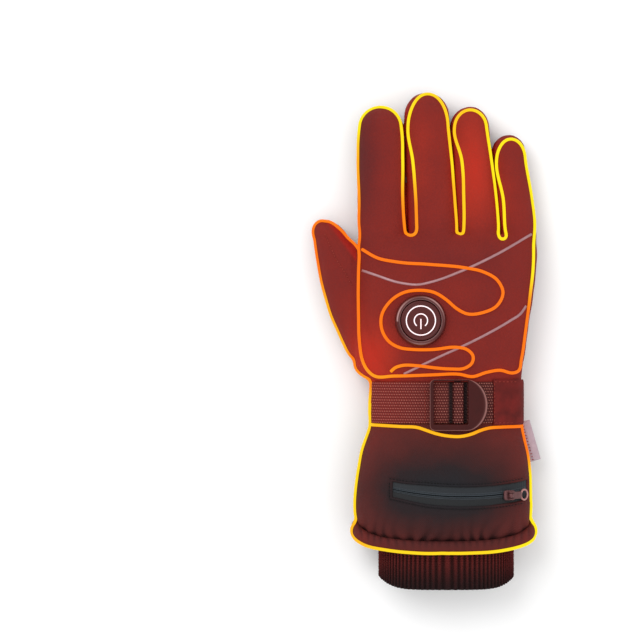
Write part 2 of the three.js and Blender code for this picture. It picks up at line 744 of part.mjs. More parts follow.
// A band over the neck as a side view in X and Z, from one angle to another, drawn out along Y
function neckBand(fromAngle, toAngle, low, high, width, y, stations = []) {
  const count = Math.ceil((Math.abs(toAngle - fromAngle) * NECK.half) / STRAP_STEP);
  const even = steps(count).map((t) => lerp(fromAngle, toAngle, t));
  const run = [...even, ...stations.map(neckAngle)].sort((a, b) => b - a);
  const curve = (height) =>
    run.map((angle) => {
      const x = onSection(grown(NECK, height(0)), angle).x;
      const p = onSection(grown(NECK, height(x)), angle);
      return new THREE.Vector2(p.x, p.z);
    });
  const shape = new THREE.Shape([...curve(low), ...curve(high).reverse()]);
  const geometry = new THREE.ExtrudeGeometry(shape, { depth: width, bevelEnabled: false });
  return solidOf(geometry.rotateX(Math.PI / 2).translate(0, y + width / 2, 0));
}

const strapStations = [windowLeft + GAP, barLeft - GAP, barLeft + CENTRE_BAR + GAP, windowRight - GAP];
const strapEndX = BUCKLE_LEFT + BUCKLE_LENGTH * 0.83;
const strapLow = (x) => GAP + strapLift(x);
const strapHigh = (x) => GAP + strapLift(x) + WEBBING_THICK;
add(
  "strap_webbing",
  neckBand(
    STRAP_LEFT_ANGLE,
    neckAngle(strapEndX),
    strapLow,
    strapHigh,
    WEBBING_WIDTH,
    STRAP_Y,
    strapStations,
  ),
  webbing,
);
add(
  "strap_anchor",
  neckBand(
    neckAngle(strapEndX + GAP),
    neckAngle(PATCH_LEFT - GAP),
    () => GAP,
    () => GAP + WEBBING_THICK,
    WEBBING_WIDTH,
    STRAP_Y,
  ),
  webbing,
);
add(
  "strap_patch",
  neckBand(
    neckAngle(PATCH_LEFT),
    PATCH_RIGHT_ANGLE,
    () => GAP,
    () => GAP + PATCH_THICK,
    PATCH_HEIGHT,
    STRAP_Y,
  ),
  palmLeather,
);

// Buckle: a frame with a window, a centre bar low in it, and a D-shaped grip, bent to the neck like the strap
function bentPlate(solid, level) {
  return solid.warp((p) => {
    const angle = neckAngle(p[0]);
    p[2] += onSection(grown(NECK, level), angle).z;
  });
}

const BUCKLE_DROP = 1.5; // the buckle hangs this much lower than the strap's middle
const BUCKLE_Y = STRAP_Y - BUCKLE_DROP;
const BUCKLE_CORNER = 3;
const BAR_INSET = 0.5; // from the edge of the frame to the end of the bar
function buckleOutline() {
  const [x0, x1] = [BUCKLE_LEFT, BUCKLE_LEFT + BUCKLE_LENGTH];
  const [y0, y1] = [BUCKLE_Y - BUCKLE_HEIGHT / 2, BUCKLE_Y + BUCKLE_HEIGHT / 2];
  const grip = (x1 - x0) * TAB_SHARE * 1.1;
  const shape = new THREE.Shape();
  shape.moveTo(x0 + BUCKLE_CORNER, y0);
  [0.25, 0.5, 0.75].forEach((t) => shape.lineTo(lerp(x0, x1 - grip, t), y0));
  shape.absellipse(x1 - grip, BUCKLE_Y, grip, BUCKLE_HEIGHT / 2, -Math.PI / 2, Math.PI / 2, false, 0);
  [0.75, 0.5, 0.25].forEach((t) => shape.lineTo(lerp(x0, x1 - grip, t), y1));
  shape.lineTo(x0 + BUCKLE_CORNER, y1);
  shape.quadraticCurveTo(x0, y1, x0, y1 - BUCKLE_CORNER);
  shape.lineTo(x0, y0 + BUCKLE_CORNER);
  shape.quadraticCurveTo(x0, y0, x0 + BUCKLE_CORNER, y0);
  return shape;
}

const frameLevel = WEBBING_THICK + 2 * GAP;
const windowHalf = WEBBING_WIDTH / 2 + 2 * GAP;
const plate = solidOf(
  new THREE.ExtrudeGeometry(buckleOutline(), { depth: BUCKLE_THICK, bevelEnabled: false, curveSegments: 10 }),
);
const opening = prism(
  rectangle(windowLeft, windowRight, STRAP_Y - windowHalf, STRAP_Y + windowHalf),
  -HIGH,
  HIGH,
);
const centreBar = prism(
  rectangle(
    barLeft,
    barLeft + CENTRE_BAR,
    BUCKLE_Y - BUCKLE_HEIGHT / 2 + BAR_INSET,
    BUCKLE_Y + BUCKLE_HEIGHT / 2 - BAR_INSET,
  ),
  -frameLevel + GAP,
  -frameLevel + GAP + BAR_THICK,
);
const barPosts = [-1, 1].map((side) => {
  const edge = STRAP_Y + side * windowHalf;
  const outer = BUCKLE_Y + side * (BUCKLE_HEIGHT / 2 - BAR_INSET);
  return prism(
    rectangle(barLeft, barLeft + CENTRE_BAR, Math.min(edge, outer), Math.max(edge, outer)),
    -frameLevel + GAP,
    BUCKLE_THICK / 2,
  );
});
const buckleFlat = barPosts.reduce((sum, post) => sum.add(post), plate.subtract(opening).add(centreBar));
add("buckle", bentPlate(buckleFlat, frameLevel + GAP), acetal);

// Switch: a round moulding on the back of the hand with a cap that is pressed, and white lines let into the cap
const SWITCH_X = acrossHand(0.341);
const SWITCH_Y = alongHand(0.491);
const switchBase = Math.max(
  ...[-1, -0.5, 0, 0.5, 1].flatMap((i) =>
    [-0.7, 0, 0.7].map((j) =>
      topHeight(SWITCH_X + i * SWITCH_RADIUS * 0.95, SWITCH_Y + j * SWITCH_RADIUS, 0),
    ),
  ),
);
const capTop = switchBase + SWITCH_HEIGHT - GAP;
const capBottom = capTop - CAP_THICK;
const wellFloor = capBottom - CAP_TRAVEL - GAP;
const capRadius = SWITCH_RADIUS - SWITCH_RIM - GAP;

function turned(profile) {
  const points = profile.map(([r, z]) => new THREE.Vector2(r, z));
  const geometry = new THREE.LatheGeometry(points, ROUND_SIDES).rotateX(Math.PI / 2);
  return solidOf(geometry.translate(SWITCH_X, SWITCH_Y, 0));
}

const housing = turned([
  [0, switchBase - HAND_THICK / 4],
  [SWITCH_RADIUS, switchBase - HAND_THICK / 4],
  [SWITCH_RADIUS, switchBase + SWITCH_HEIGHT * 0.55],
  [SWITCH_RADIUS - SWITCH_RIM * 0.4, switchBase + SWITCH_HEIGHT * 0.95],
  [SWITCH_RADIUS - SWITCH_RIM * 0.7, switchBase + SWITCH_HEIGHT],
  [SWITCH_RADIUS - SWITCH_RIM, switchBase + SWITCH_HEIGHT * 0.9],
  [SWITCH_RADIUS - SWITCH_RIM, wellFloor],
  [0, wellFloor],
]);
add("switch_housing", housing.subtract(seatOnHand), silicone);

const LINE_DEPTH = 0.7;
function arcBand(radius, half, from, to) {
  const shape = new THREE.Shape();
  shape.absarc(SWITCH_X, SWITCH_Y, radius + half, from, to, false);
  if (to - from < 6.2) {
    shape.absarc(SWITCH_X, SWITCH_Y, radius - half, to, from, true);
  } else {
    shape.holes.push(new THREE.Path().absarc(SWITCH_X, SWITCH_Y, radius - half, 0, 2 * Math.PI, true));
  }
  return shape;
}

function raisedShape(shape, low, high) {
  const geometry = new THREE.ExtrudeGeometry(shape, {
    depth: high - low,
    bevelEnabled: false,
    curveSegments: 14,
  });
  return solidOf(geometry.translate(0, 0, low));
}

const lineBottom = capTop - LINE_DEPTH;
const ARC_OPENING = degToRad(38); // half of the opening of the power symbol, which faces the wrist
const arcFrom = -Math.PI / 2 + ARC_OPENING;
const arcTo = 1.5 * Math.PI - ARC_OPENING;
const whiteLines = {
  switch_light_ring: (margin) =>
    raisedShape(
      arcBand(LIGHT_RING_RADIUS, LIGHT_LINE / 2 + margin, 0, 2 * Math.PI),
      lineBottom - margin,
      capTop + margin,
    ),
  switch_symbol_arc: (margin) =>
    raisedShape(
      arcBand(SYMBOL_RADIUS, LIGHT_LINE / 2 + margin, arcFrom - margin / 3, arcTo + margin / 3),
      lineBottom - margin,
      capTop + margin,
    ),
  switch_symbol_bar: (margin) =>
    prism(
      rectangle(
        SWITCH_X - LIGHT_LINE / 2 - margin,
        SWITCH_X + LIGHT_LINE / 2 + margin,
        SWITCH_Y - SYMBOL_RADIUS * 1.2 - margin,
        SWITCH_Y + SYMBOL_RADIUS * 0.25 + margin,
      ),
      lineBottom - margin,
      capTop + margin,
    ),
};
let cap = turned([
  [0, capBottom],
  [capRadius, capBottom],
  [capRadius, capTop - 0.4],
  [capRadius - 0.4, capTop],
  [0, capTop],
]);
for (const [name, make] of Object.entries(whiteLines)) {
  cap = cap.subtract(make(GAP));
  add(name, make(0), whiteLight);
}
add("switch_cap", cap, silicone);

// Zip slider near the right end, and its pull, which is hinged on the slider's bridge and lies towards the side
const SLIDER_AT = 0.855; // share of the zip's length
const sliderX = zipRun[0][0] + SLIDER_AT * ZIP_LENGTH;
const sliderLevel = cuffSection(ZIP_ALONG, 0);
const sliderAngle = angleAt(sliderLevel, sliderX);
const sliderSeat = onCuff(ZIP_ALONG, sliderAngle, 0);
const sliderLeft = onCuff(ZIP_ALONG, sliderAngle + 0.05, 0);
const sliderTilt = Math.atan2(sliderLeft.z - sliderSeat.z, sliderSeat.x - sliderLeft.x);
const SLIDER_THICK = 1.8;
const PIVOT_RADIUS = 0.7;
const EYE_RADIUS = PIVOT_RADIUS + GAP + 0.7;

function placedOnZip(solid) {
  const geometry = new THREE.BufferGeometry();
  const m = solid.getMesh();
  geometry.setAttribute("position", new THREE.BufferAttribute(new Float32Array(m.vertProperties), 3));
  geometry.setIndex(new THREE.BufferAttribute(new Uint32Array(m.triVerts), 1));
  geometry.rotateY(sliderTilt).translate(sliderSeat.x, sliderSeat.y, sliderSeat.z);
  return solidOf(geometry);
}

function boxSolid(x0, x1, y0, y1, z0, z1) {
  const geometry = new THREE.BoxGeometry(x1 - x0, y1 - y0, z1 - z0);
  return solidOf(geometry.translate((x0 + x1) / 2, (y0 + y1) / 2, (z0 + z1) / 2));
}

function pinSolid(radius, y0, y1, x, z, sides) {
  const geometry = new THREE.CylinderGeometry(radius, radius, y1 - y0, sides);
  return solidOf(geometry.translate(x, (y0 + y1) / 2, z));
}

const sliderBase = GAP; // above the gauntlet's surface
const sliderTopZ = sliderBase + SLIDER_THICK;
const pivotZ = sliderTopZ + EYE_RADIUS + GAP;
const earThick = 1;
const pullHalf = PULL_WIDTH / 2;
const ears = [-1, 1].map((side) => {
  const inner = side * (pullHalf + GAP);
  const outer = side * (pullHalf + GAP + earThick);
  return boxSolid(-1.6, 1.6, Math.min(inner, outer), Math.max(inner, outer), sliderTopZ - 0.3, pivotZ + PIVOT_RADIUS);
});
const sliderNose = SLIDER_LENGTH / 4; // beyond the pin, under the pull
const sliderBody = boxSolid(
  sliderNose - SLIDER_LENGTH,
  sliderNose,
  -Math.max(SLIDER_WIDTH / 2, pullHalf + GAP + earThick),
  Math.max(SLIDER_WIDTH / 2, pullHalf + GAP + earThick),
  sliderBase,
  sliderTopZ,
);
const pivotPin = pinSolid(PIVOT_RADIUS, -pullHalf - GAP - earThick / 2, pullHalf + GAP + earThick / 2, 0, pivotZ, 10);
add("zip_slider", placedOnZip(ears.reduce((sum, ear) => sum.add(ear), sliderBody.add(pivotPin))), zipMetal);

const PULL_DROP = 25; // degrees that the tab leans down to the cloth from the slider's plane
const ringMiddle = PULL_LENGTH - RING_RADIUS;
const pullEye = pinSolid(EYE_RADIUS, -pullHalf, pullHalf, 0, 0, 14);
const pullTab = boxSolid(0, ringMiddle, -pullHalf, pullHalf, -PULL_THICK / 2, PULL_THICK / 2);
const ringSolid = (radius, half) => prism(circleOutline(ringMiddle, 0, radius), -half, half);
const pullBore = pinSolid(PIVOT_RADIUS + GAP, -PULL_WIDTH, PULL_WIDTH, 0, 0, 10);
const pullFlat = pullEye
  .add(pullTab)
  .add(ringSolid(RING_RADIUS, PULL_THICK / 2))
  .subtract(pullBore)
  .subtract(ringSolid(RING_HOLE, PULL_THICK));
const pullLeaned = pullFlat.rotate([0, PULL_DROP, 0]).translate([0, 0, pivotZ]);
add("zip_pull", placedOnZip(pullLeaned), zipMetal);

// Side label: a plain folded ribbon in the side seam below the strap
const labelRoot = onCuff(0.16, 0, 0);
const labelLean = degToRad(16);
const labelZ = NECK.middle;
const labelDown = [Math.sin(labelLean) * LABEL_LENGTH, -Math.cos(labelLean) * LABEL_LENGTH];
const labelOut = [Math.cos(labelLean) * LABEL_WIDTH, Math.sin(labelLean) * LABEL_WIDTH];
const labelInside = -LABEL_WIDTH;
const labelOutline = [
  [labelRoot.x + labelInside, labelRoot.y],
  [labelRoot.x + labelOut[0], labelRoot.y + labelOut[1]],
  [labelRoot.x + labelOut[0] + labelDown[0], labelRoot.y + labelOut[1] + labelDown[1]],
  [labelRoot.x + labelDown[0] + labelInside, labelRoot.y + labelDown[1]],
];
add(
  "side_label",
  prism(labelOutline, labelZ - LABEL_THICK / 2, labelZ + LABEL_THICK / 2).subtract(
    cuffSolid(GAP, -0.3, 1.2),
  ),
  labelCloth,
);

// Heating wires: glowing lines on the shell. The first runs round the hand and along every finger.
const onHand = (y, angle) => onSection(sectionAt(handSections(WIRE_STAND, true), y), angle);
const overHand = (x, y) => new THREE.Vector3(x, y, topHeight(x, y, WIRE_STAND));
const RIGHT_LINE = degToRad(14);
const BOTTOM_LINE = 0.174; // share of the hand's length
const BOTTOM_WAVE = 0.006;
const TIP_STEPS = 9;
const CROTCH_CLEAR = 5;

function fingerWire(finger) {
  const round = fingerRound(finger);
  const straight = [CROTCH_Y + CROTCH_CLEAR, lerp(CROTCH_Y, round.start, 0.5), round.start];
  const side = (y, angle) => onSection(grown(fingerSection(finger, y), WIRE_STAND), angle);
  const up = straight.map((y) => side(y, Math.PI - degToRad(finger.lift)));
  const down = straight.map((y) => side(y, degToRad(finger.fall))).reverse();
  const end = grown(fingerSection(finger, round.start), WIRE_STAND);
  const over = steps(TIP_STEPS).slice(1, -1).map((t) => {
    const turn = Math.PI * t;
    const height = degToRad(lerp(finger.lift, finger.fall, t));
    const [dx, dy, dz] = [
      -Math.cos(turn) * Math.cos(height),
      Math.sin(turn) * Math.cos(height),
      Math.sin(height),
    ];
    const [ring] = tipSections(end, round.length + WIRE_STAND, 0, [Math.asin(dy)]);
    return onSection(ring, Math.atan2(dz, dx));
  });
  return [...up, ...over, ...down];
}

function crotchTurn(from, to) {
  const [a, b] = [from.at(-1), to[0]];
  const middle = (a.x + b.x) / 2;
  const half = Math.abs(b.x - a.x) / 2;
  return [160, 125, 90, 55, 20].map(degToRad).map((turn) => {
    const x = middle + half * Math.cos(turn);
    const y = CROTCH_Y + CROTCH_CLEAR * 0.6 - (half + CROTCH_CLEAR * 0.4) * Math.sin(turn);
    return overHand(x, y);
  });
}

const fingerWires = FINGERS.map(fingerWire);
const LEFT_EDGE = [
  { across: 0.055, along: 0.19 },
  { across: 0.03, along: 0.25 },
  { across: 0.02, along: 0.32 },
  { across: 0.016, along: 0.45 },
  { across: 0.015, along: 0.6 },
  { across: 0.017, along: 0.75 },
  { across: 0.022, along: 0.87 },
  { across: 0.03, along: 0.96 },
];
const leftSide = LEFT_EDGE.map((row) => overHand(acrossHand(row.across), alongHand(row.along)));
const sideShares = [0.92, 0.84, 0.74, 0.6, 0.48, 0.38, 0.3];
const littleBase = grown(fingerSection(FINGERS.at(-1), CROTCH_Y), WIRE_STAND + GAP);
const rightSide = [
  onSection(littleBase, RIGHT_LINE + degToRad(12)),
  ...sideShares.map((share) => onHand(alongHand(share), RIGHT_LINE)),
];
const bottomLeft = new THREE.Vector3(acrossHand(0.085), 0, 0);
const bottomRight = onHand(alongHand(BOTTOM_LINE), RIGHT_LINE + degToRad(8));
const bottomRun = steps(12).map((t) => {
  const x = lerp(bottomRight.x, bottomLeft.x, t);
  return overHand(x, alongHand(BOTTOM_LINE + BOTTOM_WAVE * Math.cos(t * 4 * Math.PI)));
});
const handLoop = [
  ...leftSide,
  ...fingerWires.flatMap((run, i) => (i ? [...crotchTurn(fingerWires[i - 1], run), ...run] : run)),
  ...rightSide,
  ...bottomRun,
];
add("heating_wire_hand", wire(handLoop, true), glow);

// The second winds over the back of the hand, round the switch
const BACK_COIL = [
  { across: 0.075, along: 0.88 },
  { across: 0.13, along: 0.855 },
  { across: 0.223, along: 0.84 },
  { across: 0.458, along: 0.824 },
  { across: 0.62, along: 0.809 },
  { across: 0.72, along: 0.785 },
  { across: 0.782, along: 0.734 },
  { across: 0.799, along: 0.663 },
  { across: 0.76, along: 0.586 },
  { across: 0.676, along: 0.538 },
  { across: 0.597, along: 0.535 },
  { across: 0.52, along: 0.593 },
  { across: 0.447, along: 0.647 },
  { across: 0.341, along: 0.673 },
  { across: 0.24, along: 0.66 },
  { across: 0.162, along: 0.597 },
  { across: 0.128, along: 0.503 },
  { across: 0.153, along: 0.4 },
  { across: 0.24, along: 0.328 },
  { across: 0.369, along: 0.322 },
  { across: 0.508, along: 0.337 },
  { across: 0.6, along: 0.326 },
  { across: 0.64, along: 0.279 },
  { across: 0.6, along: 0.232 },
  { across: 0.508, along: 0.224 },
  { across: 0.369, along: 0.231 },
  { across: 0.25, along: 0.238 },
];
const BACK_STEPS = 74;
const backLine = splineThrough(
  BACK_COIL.map((row) => [acrossHand(row.across), alongHand(row.along)]),
  BACK_STEPS,
);
add("heating_wire_back", wire(backLine.map(([x, y]) => overHand(x, y))), glow);

// The third edges the thumb, passes the strap's end and runs round the gauntlet along the hem
const THUMB_LINE = degToRad(157);
const WEB_LINE = degToRad(50);
const thumbWireSections = thumbSections(WIRE_STAND);
const onThumb = (share, angle) => onSection(sectionAt(thumbWireSections, alongHand(share)), angle);
const thumbEnd = thumbWireSections.find((s) => s.y === alongHand(THUMB_SECTIONS.at(-1).along));
const thumbTip = steps(TIP_STEPS).slice(1, -1).map((t) => {
  const turn = Math.PI * t;
  const height = lerp(Math.PI - THUMB_LINE, WEB_LINE, 1 - t);
  const [dx, dy, dz] = [
    Math.cos(turn) * Math.cos(height),
    Math.sin(turn) * Math.cos(height),
    Math.sin(height),
  ];
  const length = THUMB_TIP.length * HAND_LENGTH + WIRE_STAND;
  const [ring] = tipSections(thumbEnd, length, THUMB_TIP.drift * THUMB_REACH, [Math.asin(dy)]);
  return onSection(ring, Math.atan2(dz, dx));
});
const SIDE_SHARES = [0.06, 0.21, 0.25, 0.3, 0.42, 0.58, 0.76, 0.92];
// The line keeps a little above the side seam
const NECK_RISE = degToRad(8);
const CUFF_RISE = degToRad(10);
const riseAt = (share) => lerp(NECK_RISE, CUFF_RISE, THREE.MathUtils.smoothstep(share, 0.15, 0.45));
const cuffSide = (left, from) =>
  SIDE_SHARES.filter((share) => share >= from).map((share) => {
    const rise = riseAt(share);
    return onCuff(share, left ? Math.PI - rise : rise, WIRE_STAND);
  });
function onHemWire(angle, out, down) {
  const point = onCuff(1, angle, out * HEM_BULGE + WIRE_STAND + GAP);
  point.y -= down * HEM_HEIGHT;
  return point;
}

const hemRun = steps(24).map((t) => onHemWire(lerp(Math.PI - CUFF_RISE, CUFF_RISE, t), 0.8, 0.9));
const edgeRun = [
  onThumb(0.955, WEB_LINE),
  ...thumbTip,
  ...[0.975, 0.915, 0.8, 0.64, 0.5, 0.37, 0.27, 0.19].map((share) => onThumb(share, THUMB_LINE)),
  onHand(alongHand(0.115), Math.PI - NECK_RISE),
  onHand(alongHand(0.03), Math.PI - NECK_RISE),
  ...cuffSide(true, 0.06),
  onHemWire(Math.PI - CUFF_RISE, 0.8, 0),
  ...hemRun,
  onHemWire(CUFF_RISE, 0.8, 0),
  ...cuffSide(false, 0.06).reverse(),
  onHand(alongHand(0.03), NECK_RISE),
  onHand(alongHand(0.125), NECK_RISE),
];
add("heating_wire_edge", wire(edgeRun), glow);

// The fourth follows the lower edge of the strap and dips round the buckle
const strapEdge = STRAP_Y - WEBBING_WIDTH / 2 - 2 * GAP - WIRE_RADIUS;
const buckleEdge = BUCKLE_Y - BUCKLE_HEIGHT / 2 - 2 * GAP - WIRE_RADIUS;
const patchEdge = STRAP_Y - PATCH_HEIGHT / 2 - 2 * GAP - WIRE_RADIUS;
const strapRunShares = steps(22);
const dipLength = BUCKLE_LENGTH / 4; // over which the line bends down to the buckle's edge
const wristRun = strapRunShares.map((t) => {
  const angle = lerp(degToRad(158), degToRad(22), t);
  const { x } = onSection(grown(NECK, WIRE_STAND), angle);
  const underBuckle = THREE.MathUtils.smoothstep(x, BUCKLE_LEFT - dipLength, BUCKLE_LEFT + BUCKLE_RIM);
  const past = THREE.MathUtils.smoothstep(x, BUCKLE_LEFT + BUCKLE_LENGTH * 0.7, PATCH_LEFT);
  const y = lerp(lerp(strapEdge, buckleEdge, underBuckle), patchEdge, past);
  const share = (WRIST_Y - y) / CUFF_LENGTH;
  return onCuff(share, angleAt(cuffSection(share, WIRE_STAND), x), WIRE_STAND);
});
add("heating_wire_wrist", wire(wristRun), glow);

const whole = new THREE.Box3().setFromObject(glove);
const middleOfAll = whole.getCenter(new THREE.Vector3());
glove.position.set(-middleOfAll.x, -middleOfAll.y, -whole.min.z);

export default glove;
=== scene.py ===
import bmesh
import bpy
import numpy as np
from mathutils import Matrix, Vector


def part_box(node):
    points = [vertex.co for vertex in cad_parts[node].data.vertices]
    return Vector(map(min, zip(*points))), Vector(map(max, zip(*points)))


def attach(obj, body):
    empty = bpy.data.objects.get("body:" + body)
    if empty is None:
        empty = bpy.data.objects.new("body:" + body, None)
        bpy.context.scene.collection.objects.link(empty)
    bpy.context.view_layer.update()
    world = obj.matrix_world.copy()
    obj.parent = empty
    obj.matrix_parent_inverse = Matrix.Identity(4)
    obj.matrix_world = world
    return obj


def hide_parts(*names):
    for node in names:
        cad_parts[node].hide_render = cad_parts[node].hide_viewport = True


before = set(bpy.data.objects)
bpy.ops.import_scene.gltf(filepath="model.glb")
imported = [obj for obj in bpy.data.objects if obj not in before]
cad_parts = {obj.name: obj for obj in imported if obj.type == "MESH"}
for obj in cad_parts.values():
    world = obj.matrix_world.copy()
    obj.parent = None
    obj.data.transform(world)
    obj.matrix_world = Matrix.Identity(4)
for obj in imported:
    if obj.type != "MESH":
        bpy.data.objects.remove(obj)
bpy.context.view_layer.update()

# Floor, lamps and camera
# The glove lies on a plain pale table and is seen from straight above with a long lens, fingers up.
# A large lamp at the upper left gives the soft highlights, and a second one opens the shadows.
MM = 0.001
PIXEL = 0.61 * MM  # width of one pixel of a 640-pixel picture, at half the glove's height
LENS = 135
SENSOR = 36
camera_distance = 640 * PIXEL * LENS / SENSOR
camera_data = bpy.data.cameras.new("overhead")
camera_data.lens = LENS
camera_data.sensor_width = SENSOR
camera = bpy.data.objects.new("overhead", camera_data)
camera.location = (-64.7 * MM, 11.6 * MM, 20 * MM + camera_distance)
bpy.context.collection.objects.link(camera)
bpy.context.scene.camera = camera


def lamp(name, place, size, power):
    """A square lamp at a place, turned to the glove."""
    data = bpy.data.lights.new(name, "AREA")
    data.size = size
    data.energy = power
    lit = bpy.data.objects.new(name, data)
    lit.location = place
    x, y, z = place
    lit.rotation_euler = (np.arctan2(np.hypot(x, y), z), 0, np.arctan2(x, -y))
    bpy.context.collection.objects.link(lit)


lamp("key", (-0.8, 0.9, 1.6), 1.2, 15)
lamp("fill", (1.1, -0.7, 1.5), 1.8, 5)
world = bpy.data.worlds.new("studio")
world.use_nodes = True
world.node_tree.nodes["Background"].inputs["Color"].default_value = (1, 1, 1, 1)
world.node_tree.nodes["Background"].inputs["Strength"].default_value = 0.92
bpy.context.scene.world = world
bpy.context.scene.view_settings.view_transform = "Standard"


class Flow:
    """A value that runs through a material. Sums, products and powers of it add Math nodes."""

    def __init__(self, finish, socket):
        self.finish = finish
        self.socket = socket

    def calc(self, operation, *values):
        return self.finish.node("ShaderNodeMath", {"operation": operation}, dict(enumerate(values)))

    def __add__(self, other):
        return self.calc("ADD", self, other)

    def __radd__(self, other):
        return self.calc("ADD", other, self)

    def __sub__(self, other):
        return self.calc("SUBTRACT", self, other)

    def __rsub__(self, other):
        return self.calc("SUBTRACT", other, self)

    def __mul__(self, other):
        return self.calc("MULTIPLY", self, other)

    def __rmul__(self, other):
        return self.calc("MULTIPLY", other, self)

    def __truediv__(self, other):
        return self.calc("DIVIDE", self, other)

    def sine(self):
        return self.calc("SINE", self)

    def size(self):
        return self.calc("ABSOLUTE", self)

    def above(self, low, high):
        """0 below low, 1 above high, and smooth between them."""
        settings = {"interpolation_type": "SMOOTHSTEP"}
        return self.finish.node("ShaderNodeMapRange", settings, {"Value": self, "From Min": low, "From Max": high})


class Finish:
    """A procedural material on one Principled shader. node() adds any node to it."""

    def __init__(self, name, **constants):
        self.material = bpy.data.materials.new(name)
        self.material.use_nodes = True
        self.tree = self.material.node_tree
        self.shader = self.tree.nodes["Principled BSDF"]
        for key, value in constants.items():
            self.shader.inputs[key.replace("_", " ")].default_value = value

    def node(self, kind, settings=None, values=None, output=0):
        made = self.tree.nodes.new(kind)
        for key, value in (settings or {}).items():
            if key == "stops":
                self.set_stops(made.color_ramp, value)
            else:
                setattr(made, key, value)
        for key, value in (values or {}).items():
            self.feed(made.inputs[key], value)
        return Flow(self, made.outputs[output])

    def set_stops(self, ramp, stops):
        while len(ramp.elements) < len(stops):
            ramp.elements.new(0.5)
        for element, (place, colour) in zip(ramp.elements, stops):
            element.position = place
            element.color = tint(colour)

    def feed(self, socket, value):
        if isinstance(value, Flow):
            self.tree.links.new(value.socket, socket)
        elif isinstance(value, str):
            socket.default_value = tint(value)
        else:
            socket.default_value = value

    def set(self, **flows):
        for key, value in flows.items():
            self.feed(self.shader.inputs[key.replace("_", " ")], value)

    def place(self, axis):
        """One axis of the object's own coordinates, in millimetres."""
        spot = self.node("ShaderNodeTexCoord", output=3)
        return self.node("ShaderNodeSeparateXYZ", None, {0: spot}, output=axis) * 1000

    def noise(self, size, detail=2.0, stretch=(1, 1, 1)):
        """Noise whose grains are about size millimetres across."""
        spot = self.node("ShaderNodeTexCoord", output=3)
        turned = self.node("ShaderNodeMapping", None, {"Vector": spot, "Scale": stretch})
        values = {"Vector": turned, "Scale": 1000 / size, "Detail": detail}
        return self.node("ShaderNodeTexNoise", None, values)

    def mark(self, name):
        """A value that the mesh carries at its points."""
        return self.node("ShaderNodeAttribute", {"attribute_name": name}, None, output=2)

    def ramp(self, value, stops):
        return self.node("ShaderNodeValToRGB", {"stops": stops}, {"Fac": value})

    def mix(self, share, first, second):
        settings = {"data_type": "RGBA"}
        return self.node("ShaderNodeMix", settings, {0: share, 6: first, 7: second}, output=2)

    def relief(self, height, depth):
        """Bumps the surface by height times depth millimetres."""
        values = {"Height": height, "Distance": depth * MM, "Strength": 1.0}
        self.set(Normal=self.node("ShaderNodeBump", None, values))


def tint(colour):
    """A screen colour such as #7e2b2c as the linear colour that a shader takes."""
    parts = np.array([int(colour[i : i + 2], 16) / 255 for i in (1, 3, 5)])
    linear = np.where(parts <= 0.04045, parts / 12.92, ((parts + 0.055) / 1.055) ** 2.4)
    return (*linear.tolist(), 1.0)


def mesh_piece(name, points, faces, finish=None, smooth=True):
    """A piece from points and faces, whose faces are turned outwards."""
    mesh = bpy.data.meshes.new(name)
    mesh.from_pydata(points.tolist(), [], faces)
    mesh.polygons.foreach_set("use_smooth", np.full(len(mesh.polygons), smooth))
    piece = bpy.data.objects.new(name, mesh)
    bpy.context.collection.objects.link(piece)
    if finish:
        mesh.materials.append(finish.material)
    return piece


table = Finish("pale_table", Roughness=0.9, Specular_IOR_Level=0.1)
table.set(Base_Color=table.mix(table.noise(60), "#fbfbfb", "#f7f7f7"))
TABLE_HALF = 3.0
corners = np.array([[-1, -1, 0], [1, -1, 0], [1, 1, 0], [-1, 1, 0]]) * TABLE_HALF
floor = mesh_piece("table", corners - (0, 0, 0.4 * MM), [(0, 1, 2, 3)], table, False)

# Shell of the hand
# Padded softshell over the back and the fingers, thin leather on the palm, joined by a seam along the sides.
# Hand, fingers and thumb are drawn as tubes, welded to one skin, smoothed, filled out and cut at the seams.
HAND_WIDTH = 109 * MM
HAND_LENGTH = 103 * MM
HAND_THICK = 36 * MM
THUMB_REACH = 26.5 * MM
HAND_LEFT = -41.155 * MM
WRIST_Y = -39.3 * MM
CROTCH_Y = WRIST_Y + HAND_LENGTH
SEAM_Z = 5 * MM
ROUNDNESS = 2.45
BELLY = 0.46
FLATTEN = 1.16
SLACK = 0.9 * MM  # the skin is welded this much too small, and filled out afterwards
WELD = 1.25 * MM
SHELL_WALL = 2.2 * MM
PALM_FLOOR = 0.9 * MM


def eased(at, knots, values):
    """A cubic through a table: Hermite pieces with the central differences as their slopes."""
    knots, values = np.asarray(knots, float), np.asarray(values, float)
    slopes = np.gradient(values, knots, axis=0)
    i = np.clip(np.searchsorted(knots, at, side="right") - 1, 0, len(knots) - 2)
    width = knots[i + 1] - knots[i]
    t = (at - knots[i]) / width
    if values.ndim > 1:
        t, width = t[:, None], width[:, None]
    hold = (2 * t**3 - 3 * t**2 + 1) * values[i] + (3 * t**2 - 2 * t**3) * values[i + 1]
    return hold + width * ((t**3 - 2 * t**2 + t) * slopes[i] + (t**3 - t**2) * slopes[i + 1])


def section(y, left, right, low, top):
    """A section as y, centre, half width, height of its widest line, reach above and below it, and floor."""
    middle = low + BELLY * (top - low)
    return np.stack(np.broadcast_arrays(
        y, (left + right) / 2, (right - left) / 2, middle, top - middle, (middle - low) * FLATTEN, low
    ), axis=-1)


def grown(s, by):
    return s + by * np.array([0, 0, 1, 0, 1, 1, -1])


